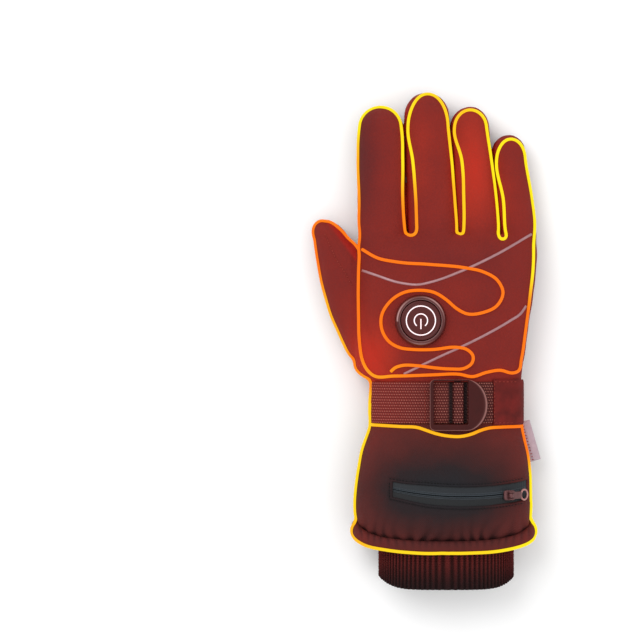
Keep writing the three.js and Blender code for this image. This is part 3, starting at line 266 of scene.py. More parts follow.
def on_section(s, angle, under=ROUNDNESS):
    """Superellipse with a flat floor: x = centre + half c^p, z = middle + reach q^p, p = 2 / roundness."""
    y, centre, half, middle, above, below, low = np.moveaxis(s, -1, 0)
    c, q = np.cos(angle), np.sin(angle)
    power = 2 / np.where(q > 0, ROUNDNESS, under)
    x = centre + half * np.sign(c) * np.abs(c) ** power
    z = middle + np.where(q > 0, above, below) * np.sign(q) * np.abs(q) ** power
    return np.stack([x, y + 0 * x, np.maximum(z, low)], axis=-1)


def turn(count):
    return np.linspace(0, 2 * np.pi, count, endpoint=False)


def across_hand(share):
    return HAND_LEFT + np.asarray(share) * HAND_WIDTH


def along_hand(share):
    return WRIST_Y + np.asarray(share) * HAND_LENGTH


def grid_faces(rows, columns, around, along, start=0):
    """Four-cornered faces of a grid of points, closed around and along where asked."""
    i = np.arange(rows if along else rows - 1)[:, None]
    j = np.arange(columns if around else columns - 1)[None, :]
    a = i * columns + j
    b = i * columns + (j + 1) % columns
    c = (i + 1) % rows * columns + (j + 1) % columns
    d = (i + 1) % rows * columns + j
    return (np.stack([a, b, c, d], axis=-1).reshape(-1, 4) + start).tolist()


def tube_parts(rings, start=0):
    """Points and faces of a closed tube through rings, with a pole at each end."""
    rows, columns = rings.shape[:2]
    poles = np.stack([rings[0].mean(axis=0), rings[-1].mean(axis=0)])
    points = np.vstack([rings.reshape(-1, 3), poles])
    faces = grid_faces(rows, columns, True, False, start)
    j = np.arange(columns)
    k = (j + 1) % columns
    first, last = start + rows * columns, start + rows * columns + 1
    end = start + (rows - 1) * columns
    faces += np.stack([k + start, j + start, np.full(columns, first)], axis=-1).tolist()
    faces += np.stack([end + j, end + k, np.full(columns, last)], axis=-1).tolist()
    return points, faces


def outward(piece):
    """Turns the faces of a closed piece outwards."""
    work = bmesh.new()
    work.from_mesh(piece.data)
    bmesh.ops.recalc_face_normals(work, faces=work.faces)
    work.to_mesh(piece.data)
    work.free()
    return piece


HAND_TABLE = np.array([
    [0.0, 0.066, 0.912, 0.085, 0.89],
    [0.165, 0.066, 0.912, 0.085, 0.89],
    [0.315, 0.027, 0.935, 0.01, 0.96],
    [0.48, 0.003, 0.957, 0.0, 1.0],
    [0.74, 0.0, 0.988, 0.0, 0.97],
    [0.93, 0.002, 1.0, 0.0, 0.84],
    [1.0, 0.012, 0.992, 0.02, 0.7],
])
FINGER_LENGTHS = np.array([78.5, 87.5, 78.5, 61.5]) * MM
FINGER_BASES = np.array([0.275, 0.283, 0.238, 0.204])
FINGER_TIPS = np.array([0.284, 0.278, 0.24, 0.198])
FINGER_HEIGHTS = np.array([[0.92, 0.86], [0.92, 0.86], [1.0, 0.9], [1.08, 0.92]])
FINGER_GAP = 0.7 * MM
FINGER_SPAN = 100.3 * MM
SPAN_AT = 65 * MM
THUMB_TABLE = np.array([
    [0.145, 0.29, 1.1, 0.78],
    [0.17, 0.1, 1.1, 0.78],
    [0.27, -0.16, 1.0, 0.75],
    [0.37, -0.36, 0.85, 0.73],
    [0.5, -0.59, 0.65, 0.7],
    [0.64, -0.77, 0.5, 0.68],
    [0.8, -0.91, 0.32, 0.65],
    [0.915, -0.975, 0.06, 0.61],
    [0.975, -0.995, -0.2, 0.56],
])
THUMB_TIP = 0.115 * HAND_LENGTH
THUMB_DRIFT = -0.19 * THUMB_REACH
UNDER_FINGERS = 2.2  # how much squarer the hand is below, where the fingers start


def hand_sections(y, grow):
    rows = eased((np.clip(y, WRIST_Y, CROTCH_Y) - WRIST_Y) / HAND_LENGTH, HAND_TABLE[:, 0], HAND_TABLE[:, 1:])
    left, right, low, top = rows.T
    return grown(section(y, across_hand(left), across_hand(right), low * HAND_THICK, top * HAND_THICK), grow)


def finger_edges(index, y):
    """Left and right of a finger: it runs from its share of the base width to its share of the tip width."""
    t = np.maximum(0, y - CROTCH_Y) / SPAN_AT
    sides = []
    for shares, whole in ((FINGER_BASES, HAND_WIDTH), (FINGER_TIPS, FINGER_SPAN)):
        free = whole - 3 * FINGER_GAP
        left = HAND_LEFT + np.sum(shares[:index]) * free + index * FINGER_GAP
        sides.append((left, left + shares[index] * free))
    (left0, right0), (left1, right1) = sides
    return left0 + (left1 - left0) * t, right0 + (right1 - right0) * t


def finger_sections(index, y, grow):
    left, right = finger_edges(index, y)
    t = np.maximum(0, y - CROTCH_Y) / SPAN_AT
    base, tip = FINGER_HEIGHTS[index]
    height = (base + (tip - base) * t) * (right - left)
    return grown(section(y, left, right, 0 * y, height), grow)


def rounded_end(s, length, drift, angle):
    """Sections over a rounded end: a quarter ellipse of this length, whose centre may drift sideways."""
    c, q = np.cos(angle)[:, None], np.sin(angle)[:, None]
    made = s + q * np.array([length, drift, 0, 0, 0, 0, 0])
    made[:, 2:3] *= c
    made[:, 4:6] *= c
    return made


def finger_rings(index, grow, count):
    end = CROTCH_Y + FINGER_LENGTHS[index]
    half = finger_sections(index, np.array([end]), 0)[0, 2]
    round_start = end - 1.12 * half
    y = np.linspace(CROTCH_Y - 0.16 * HAND_LENGTH, round_start, 60)
    straight = finger_sections(index, y, grow)
    tip = rounded_end(straight[-1], 1.12 * half + grow, 0, np.linspace(0, np.pi / 2 * 0.985, 26)[1:])
    return on_section(np.vstack([straight, tip])[:, None, :], turn(count)[None, :])


def thumb_sections(y, grow):
    rows = eased((y - WRIST_Y) / HAND_LENGTH, THUMB_TABLE[:, 0], THUMB_TABLE[:, 1:])
    left, right, top = rows.T
    made = section(y, HAND_LEFT + left * THUMB_REACH, HAND_LEFT + right * THUMB_REACH, 0 * y, top * HAND_THICK)
    return grown(made, grow)


def thumb_rings(grow, count):
    y = np.linspace(along_hand(THUMB_TABLE[0, 0]), along_hand(THUMB_TABLE[-1, 0]), 70)
    straight = thumb_sections(y, grow)
    tip = rounded_end(straight[-1], THUMB_TIP + grow, THUMB_DRIFT, np.linspace(0, np.pi / 2 * 0.985, 26)[1:])
    return on_section(np.vstack([straight, tip])[:, None, :], turn(count)[None, :])


def waves(points, size, seed, count=7):
    """A soft uneven field between about -1 and 1: the mean of plane waves in seeded random directions."""
    chance = np.random.default_rng(seed)
    runs = chance.normal(size=(count, 3))
    runs /= np.linalg.norm(runs, axis=1, keepdims=True)
    lengths = size * chance.uniform(0.7, 1.5, count)
    phases = chance.uniform(0, 2 * np.pi, count)
    return np.sin(2 * np.pi * points @ (runs / lengths[:, None]).T + phases).mean(axis=-1) * 1.8


def hill(value, centre, width):
    """A bell: exp(-((value - centre) / width)^2)."""
    return np.exp(-(((value - centre) / width) ** 2))


def step(value, low, high):
    """0 below low, 1 above high, 3t^2 - 2t^3 between them."""
    t = np.clip((value - low) / (high - low), 0, 1)
    return t * t * (3 - 2 * t)


def points_of(mesh):
    flat = np.empty(len(mesh.vertices) * 3)
    mesh.vertices.foreach_get("co", flat)
    return flat.reshape(-1, 3)


def applied(piece):
    """The piece's mesh with its modifiers worked in."""
    bpy.context.view_layer.update()
    graph = bpy.context.evaluated_depsgraph_get()
    return bpy.data.meshes.new_from_object(piece.evaluated_get(graph))


def smoothed(mesh, points, rounds):
    """Moves each point to the mean of its neighbours and back out: shares 0.55 and -0.56 in turn."""
    ends = np.empty(len(mesh.edges) * 2, int)
    mesh.edges.foreach_get("vertices", ends)
    a, b = ends.reshape(-1, 2).T
    count = len(points)
    links = np.bincount(np.r_[a, b], minlength=count)[:, None]
    for share in (0.55, -0.56) * rounds:
        total = np.stack([
            np.bincount(np.r_[a, b], np.r_[points[b, k], points[a, k]], minlength=count) for k in range(3)
        ], axis=-1)
        points = points + share * (total / links - points)
    return points


def past_crease(x, y):
    """Distance, in plan, past the straight crease that runs from the thumb's tip to its web."""
    return 0.804 * (x + 59.8 * MM) + 0.595 * (y - 69.1 * MM)


hand_y = np.linspace(WRIST_Y - 8 * MM, CROTCH_Y - SLACK, 90)
squarer = ROUNDNESS + UNDER_FINGERS * step(hand_y, along_hand(0.3), CROTCH_Y)
tubes = [on_section(hand_sections(hand_y, -SLACK)[:, None, :], turn(160)[None, :], squarer[:, None])]
tubes += [finger_rings(i, -SLACK, 72) for i in range(4)]
tubes.append(thumb_rings(-SLACK, 72))
all_points, all_faces = [], []
for rings in tubes:
    new_points, new_faces = tube_parts(rings, sum(len(p) for p in all_points))
    all_points.append(new_points)
    all_faces += new_faces
skin = outward(mesh_piece("skin", np.vstack(all_points), all_faces))
weld = skin.modifiers.new("weld", "REMESH")
weld.mode = "VOXEL"
weld.voxel_size = WELD
skin_mesh = applied(skin)
skin.modifiers.clear()
skin.data = skin_mesh

skin_points = smoothed(skin_mesh, points_of(skin_mesh), 9)
skin_mesh.vertices.foreach_set("co", skin_points.ravel())
skin_mesh.update()
skin_normals = np.empty(len(skin_points) * 3)
skin_mesh.vertices.foreach_get("normal", skin_normals)
skin_normals = skin_normals.reshape(-1, 3)
sx, sy, sz = skin_points.T
on_finger = step(sy, CROTCH_Y, CROTCH_Y + 8 * MM)
on_back = step(sz, 6 * MM, 12 * MM)
thumb_seam_x = HAND_LEFT - 0.4 * MM
in_thumb_side = step(sy, along_hand(0.12), along_hand(0.2)) * (1 - step(sy, along_hand(0.84), along_hand(0.92)))
fill = SLACK + 0.3 * MM * np.abs(skin_normals[:, 0]) * on_finger
fill = fill + 0.35 * MM * waves(skin_points, 34 * MM, 3) * on_back
fill = fill + 0.16 * MM * waves(skin_points * (1.6, 0.7, 1), 11 * MM, 5) * on_back
fill = fill - 0.55 * MM * hill(sz, SEAM_Z, 0.8 * MM)
fill = fill - 1.2 * MM * hill(sx, thumb_seam_x - 2.2 * MM, 1.5 * MM) * in_thumb_side * on_back
thumb_inside = step(sy, 34 * MM, 46 * MM) * (sx < HAND_LEFT - 1.5 * MM) * on_back
fill = fill - 0.5 * MM * hill(past_crease(sx, sy), 0, 0.9 * MM) * thumb_inside
skin_points = skin_points + fill[:, None] * skin_normals
skin_points[:, 2] = np.maximum(skin_points[:, 2], PALM_FLOOR)
skin_mesh.vertices.foreach_set("co", skin_points.ravel())
skin_mesh.update()


def cut(mesh, *planes):
    """A copy of the mesh with an edge all along each plane, given by a point and a direction."""
    work = bmesh.new()
    work.from_mesh(mesh)
    for spot, way in planes:
        everything = work.verts[:] + work.edges[:] + work.faces[:]
        bmesh.ops.bisect_plane(work, geom=everything, plane_co=spot, plane_no=way, dist=1e-6)
    made = bpy.data.meshes.new("cut")
    work.to_mesh(made)
    work.free()
    return made


def part_of(mesh, name, keep, finishes):
    """The faces whose centre the keep function takes, as a piece of their own."""
    centres = np.empty(len(mesh.polygons) * 3)
    mesh.polygons.foreach_get("center", centres)
    chosen = keep(*centres.reshape(-1, 3).T)
    work = bmesh.new()
    work.from_mesh(mesh)
    work.faces.ensure_lookup_table()
    bmesh.ops.delete(work, geom=[work.faces[i] for i in np.flatnonzero(~chosen)], context="FACES")
    made = bpy.data.meshes.new(name)
    work.to_mesh(made)
    work.free()
    made.polygons.foreach_set("use_smooth", np.ones(len(made.polygons), bool))
    for finish in finishes:
        made.materials.append(finish.material)
    piece = bpy.data.objects.new(name, made)
    bpy.context.collection.objects.link(piece)
    return piece


def marked(piece, **fields):
    """Writes values at the points of a piece, for its material to read."""
    for name, values in fields.items():
        layer = piece.data.attributes.new(name, "FLOAT", "POINT")
        layer.data.foreach_set("value", np.asarray(values, np.float32))
    return piece


def hand_tone_and_painted_light(points):
    """How red the cloth is, 0 to 1, painted light and shade included: a middle value, with painted light brightest on
    the ring finger and at the lower left, and painted shade on the index finger.
    """
    x, y, _ = points.T / MM
    red = 0.46 + 0.46 * hill(x, 28, 13) * hill(y, 104, 34) + 0.5 * hill(x, -34, 16) * hill(y, -14, 26)
    red = red + 0.16 * hill(x, -4, 9) * hill(y, 116, 30) + 0.14 * hill(x, 47, 9) * hill(y, 88, 20)
    red = red - 0.3 * hill(x, -42, 11) * hill(y, 110, 34) - 0.1 * hill(x, 17, 40) * hill(y, 50, 16)
    return np.clip(red, 0, 1)


def belongs(piece, slot, *nodes, body="glove"):
    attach(piece, body)
    if nodes:
        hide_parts(*nodes)
    return piece


def walled(piece, thickness, lining=0):
    """Gives a skin its thickness, inwards."""
    wall = piece.modifiers.new("wall", "SOLIDIFY")
    wall.thickness = thickness
    wall.offset = -1
    wall.material_offset = lining
    return piece


softshell = Finish("softshell_red", Roughness=0.78, Specular_IOR_Level=0.14)
weave_x = ((softshell.place(0) + softshell.place(2)) * 7.4).sine()
weave_y = (softshell.place(1) * 7.4).sine()
grain = softshell.noise(1.1, 3)
# The cloth's colour follows the marked redness: its red tone, with painted light on the ring finger and the lower left
# and painted shade on the index finger.
cloth_colour = softshell.ramp(
    softshell.mark("redness") + (softshell.noise(26) - 0.5) * 0.22 + (grain - 0.5) * 0.2,
    [(0.0, "#4a2224"), (0.3, "#6a2321"), (0.55, "#86271f"), (0.8, "#a42d1f"), (1.0, "#b82c1d")],
)
# Painted light and shade: the folds between the fingers and on the thumb's inner face take a saturated red in place of
# their shading.
softshell.set(Base_Color=softshell.mix(softshell.mark("crease"), cloth_colour, "#a01a11"))
softshell.set(Roughness=0.72 + grain * 0.16)
softshell.relief(weave_x * weave_y * 0.5 + grain, 0.2)

fleece = Finish("fleece_lining", Roughness=0.95, Sheen_Weight=0.4)
fleece.set(Base_Color=fleece.ramp(fleece.noise(2.2, 4), [(0.3, "#2a1a1c"), (0.7, "#4a2c2e")]))
fleece.relief(fleece.noise(1.4, 4), 0.5)

leather = Finish("palm_leather", Roughness=0.6, Specular_IOR_Level=0.35)
leather_grain = leather.noise(0.9, 3)
leather_base = leather.mix(leather.mark("edge"), "#2c3036", "#5a2527")
leather.set(Base_Color=leather.mix((leather.noise(9, 3) - 0.4) * 0.5, leather_base, "#1d1f24"))
leather.set(Roughness=0.5 + leather_grain * 0.25)
leather.relief(leather_grain, 0.15)

thumb_cut = HAND_LEFT + 1.2 * MM
open_mesh = cut(
    skin_mesh,
    ((0, 0, SEAM_Z), (0, 0, 1)),
    ((0, WRIST_Y + 0.2 * MM, 0), (0, 1, 0)),
    ((thumb_cut, 0, 0), (1, 0, 0)),
)
wrist_end = WRIST_Y + 0.2 * MM


def in_thumb(x, y, z):
    return (x < np.where(y < along_hand(0.89), thumb_cut, HAND_LEFT - 1 * MM)) & (z > SEAM_Z)


back = part_of(
    open_mesh, "back_softshell", lambda x, y, z: (y > wrist_end) & (z > SEAM_Z) & ~in_thumb(x, y, z), [softshell, fleece]
)
thumb = part_of(
    open_mesh, "thumb_softshell", lambda x, y, z: (y > wrist_end) & in_thumb(x, y, z), [softshell, fleece]
)
palm = part_of(open_mesh, "palm_leather", lambda x, y, z: (y > wrist_end) & (z < SEAM_Z), [leather, fleece])


def painted_crease_shading(points):
    """Painted light and shade in the folds, as a saturated red: between the fingers, and on the thumb's inner face,
    past its crease.
    """
    x, y, z = points.T
    fold = np.zeros(len(points))
    for i in range(3):
        gap_x = (finger_edges(i, y)[1] + finger_edges(i + 1, y)[0]) / 2
        fold = np.maximum(fold, hill(x, gap_x, 2.6 * MM) * step(y, CROTCH_Y - 4 * MM, CROTCH_Y + 4 * MM))
    facet = 0.7 * step(past_crease(x, y), 0, 1.8 * MM) * step(y, 30 * MM, 48 * MM) * (x < HAND_LEFT - 1.5 * MM)
    return np.maximum(fold * 0.8, facet * (z < 30 * MM))


# The marked crease is painted shading in the folds, and the marked redness carries painted light.
for piece in (back, thumb):
    spots = points_of(piece.data)
    marked(piece, redness=hand_tone_and_painted_light(spots), crease=painted_crease_shading(spots))
    walled(piece, SHELL_WALL, 1)
palm_spots = points_of(palm.data)
side = np.abs(palm_spots[:, 0] - across_hand(0.47)) / (HAND_WIDTH / 2)
marked(palm, edge=step(side, 0.62, 1.02) * 0.9)
walled(palm, SHELL_WALL * 0.6, 1)
belongs(back, "softshell", "back_panel")
belongs(thumb, "softshell", "thumb_sleeve")
belongs(palm, "palm_leather", "palm_panel")

# Gauntlet
# Padded nylon sleeve below the wrist seam. Elastic gathers it on the palm side, and the zip lies across its back.
# It is one closed wall round the section of the neck, which flares to the full width and sags towards the hem.
CUFF_LENGTH = 71 * MM
CUFF_WIDTH = 106 * MM
CUFF_SHIFT = -1.8 * MM
CUFF_THICK = 43 * MM
CUFF_WALL = 3.5 * MM
HEM_HEIGHT = 8 * MM
HEM_BULGE = 3 * MM
BACK_SAG = 11.4 * MM
PALM_SAG = 8 * MM
CUFF_TABLE = np.array([
    [-0.05, 0, 1], [0.0, 0, 1], [0.1, 0, 1], [0.21, 0.02, 1], [0.3, 0.26, 0.8], [0.42, 0.62, 0.5],
    [0.58, 0.9, 0.35], [0.76, 1, 0.35], [0.92, 1, 0.6], [1.0, 0.88, 1], [1.05, 0.8, 1.1],
])
NECK = hand_sections(np.array([WRIST_Y]), 0)[0]
AROUND = 400
ZIP_ALONG = 0.72
ZIP_LOW = -94.6 * MM
ZIP_BEND = 3.9 * MM
ZIP_CENTRE = 22 * MM
ZIP_LENGTH = 82 * MM
ZIP_START = NECK[1] + CUFF_SHIFT + CUFF_WIDTH / 2 - 2.5 * MM - ZIP_LENGTH


def cuff_sections(along, grow):
    """Sections from neck to hem: width, height and floor follow the flare, and y follows the length."""
    flare, share = eased(np.ravel(along), CUFF_TABLE[:, 0], CUFF_TABLE[:, 1:]).T.reshape(2, *np.shape(along))
    half = NECK[2] + (CUFF_WIDTH / 2 - NECK[2]) * flare
    centre = NECK[1] + CUFF_SHIFT * flare
    top = (NECK[3] + NECK[4]) * (1 - flare) + CUFF_THICK * flare
    blend = np.clip(along / 0.3, 0, 1)
    low = NECK[6] * (1 - blend) + HEM_BULGE * share * blend
    y = WRIST_Y - 0.15 * MM - along * CUFF_LENGTH
    return grown(section(y, centre - half, centre + half, low, top), grow)


def on_cuff(along, angle, grow=0):
    """A point of the sleeve: its section, with y lowered by sag * |sin|^0.75 * along^3."""
    point = on_section(cuff_sections(along, grow), angle)
    q = np.sin(angle)
    point[..., 1] -= np.where(q > 0, BACK_SAG, PALM_SAG) * np.abs(q) ** 0.75 * np.maximum(0, along) ** 3
    return point


def angle_at(s, x):
    share = np.clip((x - s[..., 1]) / s[..., 2], -1, 1)
    return np.arccos(np.sign(share) * np.abs(share) ** (ROUNDNESS / 2))


def zip_middle(x):
    """The zip's line in plan: y at each x, a shallow parabola that is lowest near the middle of the sleeve."""
    return ZIP_LOW + ZIP_BEND * ((x - ZIP_CENTRE) / (ZIP_LENGTH / 2)) ** 2


def zip_half(x):
    """Half the width of the zip's window: narrow at its left end, and even from there on."""
    return (4.6 + 1.2 * step(x, ZIP_START, ZIP_START + 26 * MM)) * MM


def pucker_depth(x):
    """The folds over the hem seam are deep at two places of the back and shallow elsewhere."""
    return 0.4 + 0.9 * hill(x, -5 * MM, 5 * MM) + 0.8 * hill(x, 29 * MM, 9 * MM) + 0.3 * hill(x, -27 * MM, 7 * MM)


def sleeve_relief(points, along, angle):
    """Height of the folds: elastic gathers under the wrist, long pleats below them, puckers at the hem seam."""
    x, y = points[..., 0], points[..., 1]
    under = step(-np.sin(angle), 0.0, 0.35)
    run = 2 * np.pi * x / (6.2 * MM)
    wander = 1.4 * waves(points, 30 * MM, 11)
    upper_row = hill(along, 0.12, 0.09) * np.sin(run + 16 * (along - 0.12) + wander)
    lower_row = hill(along, 0.3, 0.1) * np.sin(run - 16 * (along - 0.3) + wander + 1.2)
    gathers = 1.5 * MM * (upper_row + lower_row)
    pinch = -0.9 * MM * (hill(along, 0.05, 0.02) + hill(along, 0.21, 0.025))
    pleats = 0.9 * MM * step(along, 0.26, 0.4) * (1 - step(along, 0.5, 0.95)) * np.sin(run * 0.5 + 2 * wander)
    back = 1 - under
    soft = 0.5 * MM * waves(points, 30 * MM, 13) * step(along, 0.1, 0.35)
    off_zip = np.abs(y - zip_middle(x)) / (9 * MM)
    soft = soft * (1 - back * (1 - step(off_zip, 0.9, 2.2)) * step(x, ZIP_START - 14 * MM, ZIP_START))
    near_hem = np.exp(-np.maximum(0, 1 - along) / 0.075)
    crinkle = np.sin(2 * np.pi * x / (7.5 * MM) + 3.2 * waves(points, 26 * MM, 17))
    crinkle = crinkle * pucker_depth(x)
    puckers = 1.1 * MM * near_hem * np.maximum(-0.6, crinkle) * (0.6 + 0.4 * waves(points, 16 * MM, 19))
    seam = -0.6 * MM * hill(along, 1.0, 0.016)
    return under * (gathers + pinch + pleats) + soft + puckers + seam - 0.4 * MM * back * hill(along, 0.02, 0.03)


def zip_recess(points, angle):
    """The window of the zip: a groove with square ends, and welts round it that stand a little proud."""
    x, y = points[..., 0], points[..., 1]
    off = np.abs(y - zip_middle(x)) - zip_half(x)
    end = np.maximum(ZIP_START - x, x - ZIP_START - ZIP_LENGTH)
    out = np.maximum(off, end)
    top = np.sin(angle) > 0
    groove = -2.2 * MM * (1 - step(out, -0.5 * MM, 0.2 * MM))
    welt = 0.4 * MM * hill(out, 0.9 * MM, 0.8 * MM) - 0.2 * MM * hill(out, 2.0 * MM, 0.5 * MM)
    puckers = 0.12 * MM * hill(out, 2.4 * MM, 1.2 * MM) * np.sin(2 * np.pi * x / (2.8 * MM))
    return top * (groove + welt + puckers)


outer_along = np.linspace(0, 1, 150)[:, None] + 0 * turn(AROUND)
outer_angle = turn(AROUND)[None, :] + 0 * outer_along
sleeve_outer = on_cuff(outer_along, outer_angle)


def along_normals(grid):
    """Outward normals of a grid that is closed around: the cross product of its two differences."""
    around = np.roll(grid, -1, axis=1) - np.roll(grid, 1, axis=1)
    down = np.gradient(grid, axis=0)
    normal = np.cross(around, down)
    normal /= np.linalg.norm(normal, axis=-1, keepdims=True) + 1e-12
    centre = grid.mean(axis=1, keepdims=True)
    sign = np.sign(np.sum(normal * (grid - centre)))
    return normal * sign


folds = sleeve_relief(sleeve_outer, outer_along, outer_angle) + zip_recess(sleeve_outer, outer_angle)
sleeve_outer = sleeve_outer + folds[..., None] * along_normals(sleeve_outer)
sleeve_outer[..., 2] = np.maximum(sleeve_outer[..., 2], 0.3 * MM)
inner_along = np.linspace(1, 0, 24)[:, None] + 0 * turn(AROUND)
# Painted shade on the sleeve: dark in the valleys of the puckers near the hem seam, and darkest along the seam itself.
near_seam = np.exp(-(1 - outer_along) / 0.06)
crease_run = np.sin(2 * np.pi * sleeve_outer[..., 0] / (7.5 * MM) + 3.2 * waves(sleeve_outer, 26 * MM, 17))
crease_run = crease_run * pucker_depth(sleeve_outer[..., 0])
seam_painted_shade = np.clip(near_seam * (0.1 - crease_run) + 1.2 * np.exp(-(1 - outer_along) / 0.012), 0, 0.85)
sleeve_inner = on_cuff(inner_along, turn(AROUND)[None, :] + 0 * inner_along, -CUFF_WALL)
sleeve_grid = np.concatenate([sleeve_outer, sleeve_inner])

nylon = Finish("gauntlet_nylon", Roughness=0.7, Specular_IOR_Level=0.16)
nylon_grain = nylon.noise(0.9, 3)
nylon_weave = ((nylon.place(0) + nylon.place(2)) * 5.2).sine() * (nylon.place(1) * 5.2).sine()
nylon_red = nylon.ramp(
    nylon.mark("redness") + (nylon.noise(14, 3) - 0.5) * 0.25 + (nylon_grain - 0.5) * 0.15,
    [(0.0, "#1a1c20"), (0.25, "#24191b"), (0.5, "#3e1a19"), (0.75, "#551f1c"), (1.0, "#6e211b")],
)
# The marked crease darkens the nylon towards #1c0707: painted shade in the folds and at the seams.
nylon.set(Base_Color=nylon.mix(nylon.mark("crease"), nylon_red, "#1c0707"), Roughness=0.6 + nylon_grain * 0.25)
nylon.relief(nylon_weave * 0.5 + nylon_grain, 0.14)


def cuff_redness(points):
    """How red the sleeve is: charcoal round the zip and under the palm, warm at the sides and the neck."""
    x, y, z = np.moveaxis(points, -1, 0) / MM
    sides = step(np.abs(x - 10.4) / 53, 0.5, 1.0)
    back = 0.8 - 0.8 * hill(x, 8, 43) ** 0.8 * hill(y, -92, 24)
    palm_side = 0.05 + 0.75 * sides
    return np.clip(np.where(z > 12, back, palm_side) + 0.12 * sides, 0, 1)


def ring_piece(name, grid, finish, along=True):
    """A piece from a grid of points that is closed around, and along its length too where asked."""
    faces = grid_faces(grid.shape[0], grid.shape[1], True, along)
    return outward(mesh_piece(name, grid.reshape(-1, 3), faces, finish))


sleeve = ring_piece("gauntlet_sleeve_cloth", sleeve_grid, nylon)
marked(sleeve, redness=cuff_redness(sleeve_grid).ravel(), crease=np.vstack([seam_painted_shade, 0 * inner_along]).ravel())
belongs(sleeve, "gauntlet_nylon", "gauntlet_sleeve")

# Hem
# A padded roll of the same nylon, sewn round the end of the sleeve. Its profile is an oval, carried round the hem.
hem_turn = turn(AROUND)
hem_profile = turn(28)
hem_out = (0.15 + 1.05 * np.sign(np.cos(hem_profile)) * np.abs(np.cos(hem_profile)) ** 0.85) * HEM_BULGE
hem_down = (0.5 - 0.5 * np.sign(np.sin(hem_profile)) * np.abs(np.sin(hem_profile)) ** 0.85) * HEM_HEIGHT
hem_base = on_cuff(np.ones(AROUND), hem_turn)
hem_way = (on_cuff(np.ones(AROUND), hem_turn, HEM_BULGE) - hem_base) / HEM_BULGE
hem_grid = hem_base[:, None, :] + hem_way[:, None, :] * hem_out[None, :, None]
hem_grid[..., 1] -= hem_down[None, :] - 0.5 * MM
crimps = np.sin(2 * np.pi * hem_grid[..., 0] / (4.4 * MM) + 2 * waves(hem_grid, 20 * MM, 29))
near_seam = hill(hem_down, 0, 0.45 * HEM_HEIGHT)[None, :]
hem_soft = 0.3 * MM * waves(hem_grid, 18 * MM, 23) + 0.22 * MM * crimps * near_seam
hem_grid = hem_grid + hem_way[:, None, :] * hem_soft[..., None]
hem_grid[..., 2] = np.maximum(hem_grid[..., 2], 0.1 * MM)
hem = ring_piece("hem_roll_cloth", hem_grid, nylon)
# Painted shade: the valleys of the crimps next to the seam are darkened.
hem_painted_shade = np.clip(near_seam * (0.2 - crimps) * 0.4, 0, 0.5)
marked(hem, redness=cuff_redness(hem_grid).ravel(), crease=hem_painted_shade.ravel())
belongs(hem, "gauntlet_nylon", "hem_roll")

# Knit cuff
# A ribbed knit tube that is sewn in under the wrist and shows below the hem.
# Its ribs are a wave round the section, and each rib's stitches are a bump pattern.
KNIT_WIDTH = 81.5 * MM
KNIT_THICK = 30 * MM
KNIT_WALL = 2.5 * MM
KNIT_RIBS = 84
KNIT_CORNER = 6 * MM
knit_top_y = WRIST_Y - 0.06 * CUFF_LENGTH
knit_end_y = WRIST_Y - CUFF_LENGTH - BACK_SAG - HEM_HEIGHT - 21.5 * MM
knit_floor = HEM_BULGE + CUFF_WALL + 0.75 * MM
seat = grown(NECK, -CUFF_WALL - 1.0 * MM)
knit_left = NECK[1] - KNIT_WIDTH / 2
tube_section = section(0.0, knit_left, knit_left + KNIT_WIDTH, knit_floor, knit_floor + KNIT_THICK)
knit_rows = 90
knit_down = np.linspace(0, 1, knit_rows)
knit_blend = step(knit_down, 0.15, 0.5)[:, None]
knit_sections = seat[None, :] * (1 - knit_blend) + tube_section[None, :] * knit_blend
knit_sections[:, 0] = knit_top_y + (knit_end_y - knit_top_y) * knit_down
knit_angle = turn(KNIT_RIBS * 8)[None, :]
ribs = np.cos(knit_angle * KNIT_RIBS + 0.25 * waves(np.stack(np.broadcast_arrays(
    np.cos(knit_angle), knit_down[:, None] * 2, np.sin(knit_angle)), axis=-1), 0.8, 31))
rib_height = 0.5 * MM * np.sign(ribs) * np.abs(ribs) ** 0.7
knit_outer = on_section(knit_sections[:, None, :], knit_angle)
knit_outer[..., 1] += KNIT_CORNER * 1.15 * np.abs(np.cos(knit_angle)) ** 5 * step(knit_down, 0.55, 1)[:, None]
knit_normals = along_normals(knit_outer)
knit_inner = (knit_outer - knit_normals * KNIT_WALL)[::-1]
loops = 0.14 * MM * np.sin(2 * np.pi * knit_outer[..., 1] / (1.9 * MM) + 2.5 * waves(knit_outer, 6 * MM, 37))
knit_outer = knit_outer + knit_normals * (rib_height + loops)[..., None]
knit_grid = np.concatenate([knit_outer, knit_inner])

knitted = Finish("rib_knit", Roughness=0.92, Sheen_Weight=0.04, Specular_IOR_Level=0.1)
stitch = (knitted.place(1) * 4.2 + (knitted.place(0) * 2.6).sine() * 1.2).sine()
yarn = knitted.noise(1.2, 4)
knit_colour = knitted.ramp(
    knitted.mark("down") + (yarn - 0.5) * 0.25, [(0.0, "#6c2523"), (0.6, "#481918"), (1.0, "#241213")]
)
# Painted shade: the valleys between the ribs are darkened towards #120606.
knitted.set(Base_Color=knitted.mix(knitted.mark("valley"), knit_colour, "#120606"))
knitted.relief(stitch * 0.6 + yarn, 0.35)
knit = ring_piece("knit_cuff_ribs", knit_grid, knitted)
down_mark = step(knit_grid[..., 1], knit_end_y, knit_end_y + 26 * MM)
# Painted shade, strongest in the valleys between the ribs.
valley = np.concatenate([np.clip(0.5 - ribs, 0, 1) * 0.75, 0 * ribs])
marked(knit, down=(1 - down_mark).ravel(), valley=valley.ravel())
belongs(knit, "knit", "knit_cuff")

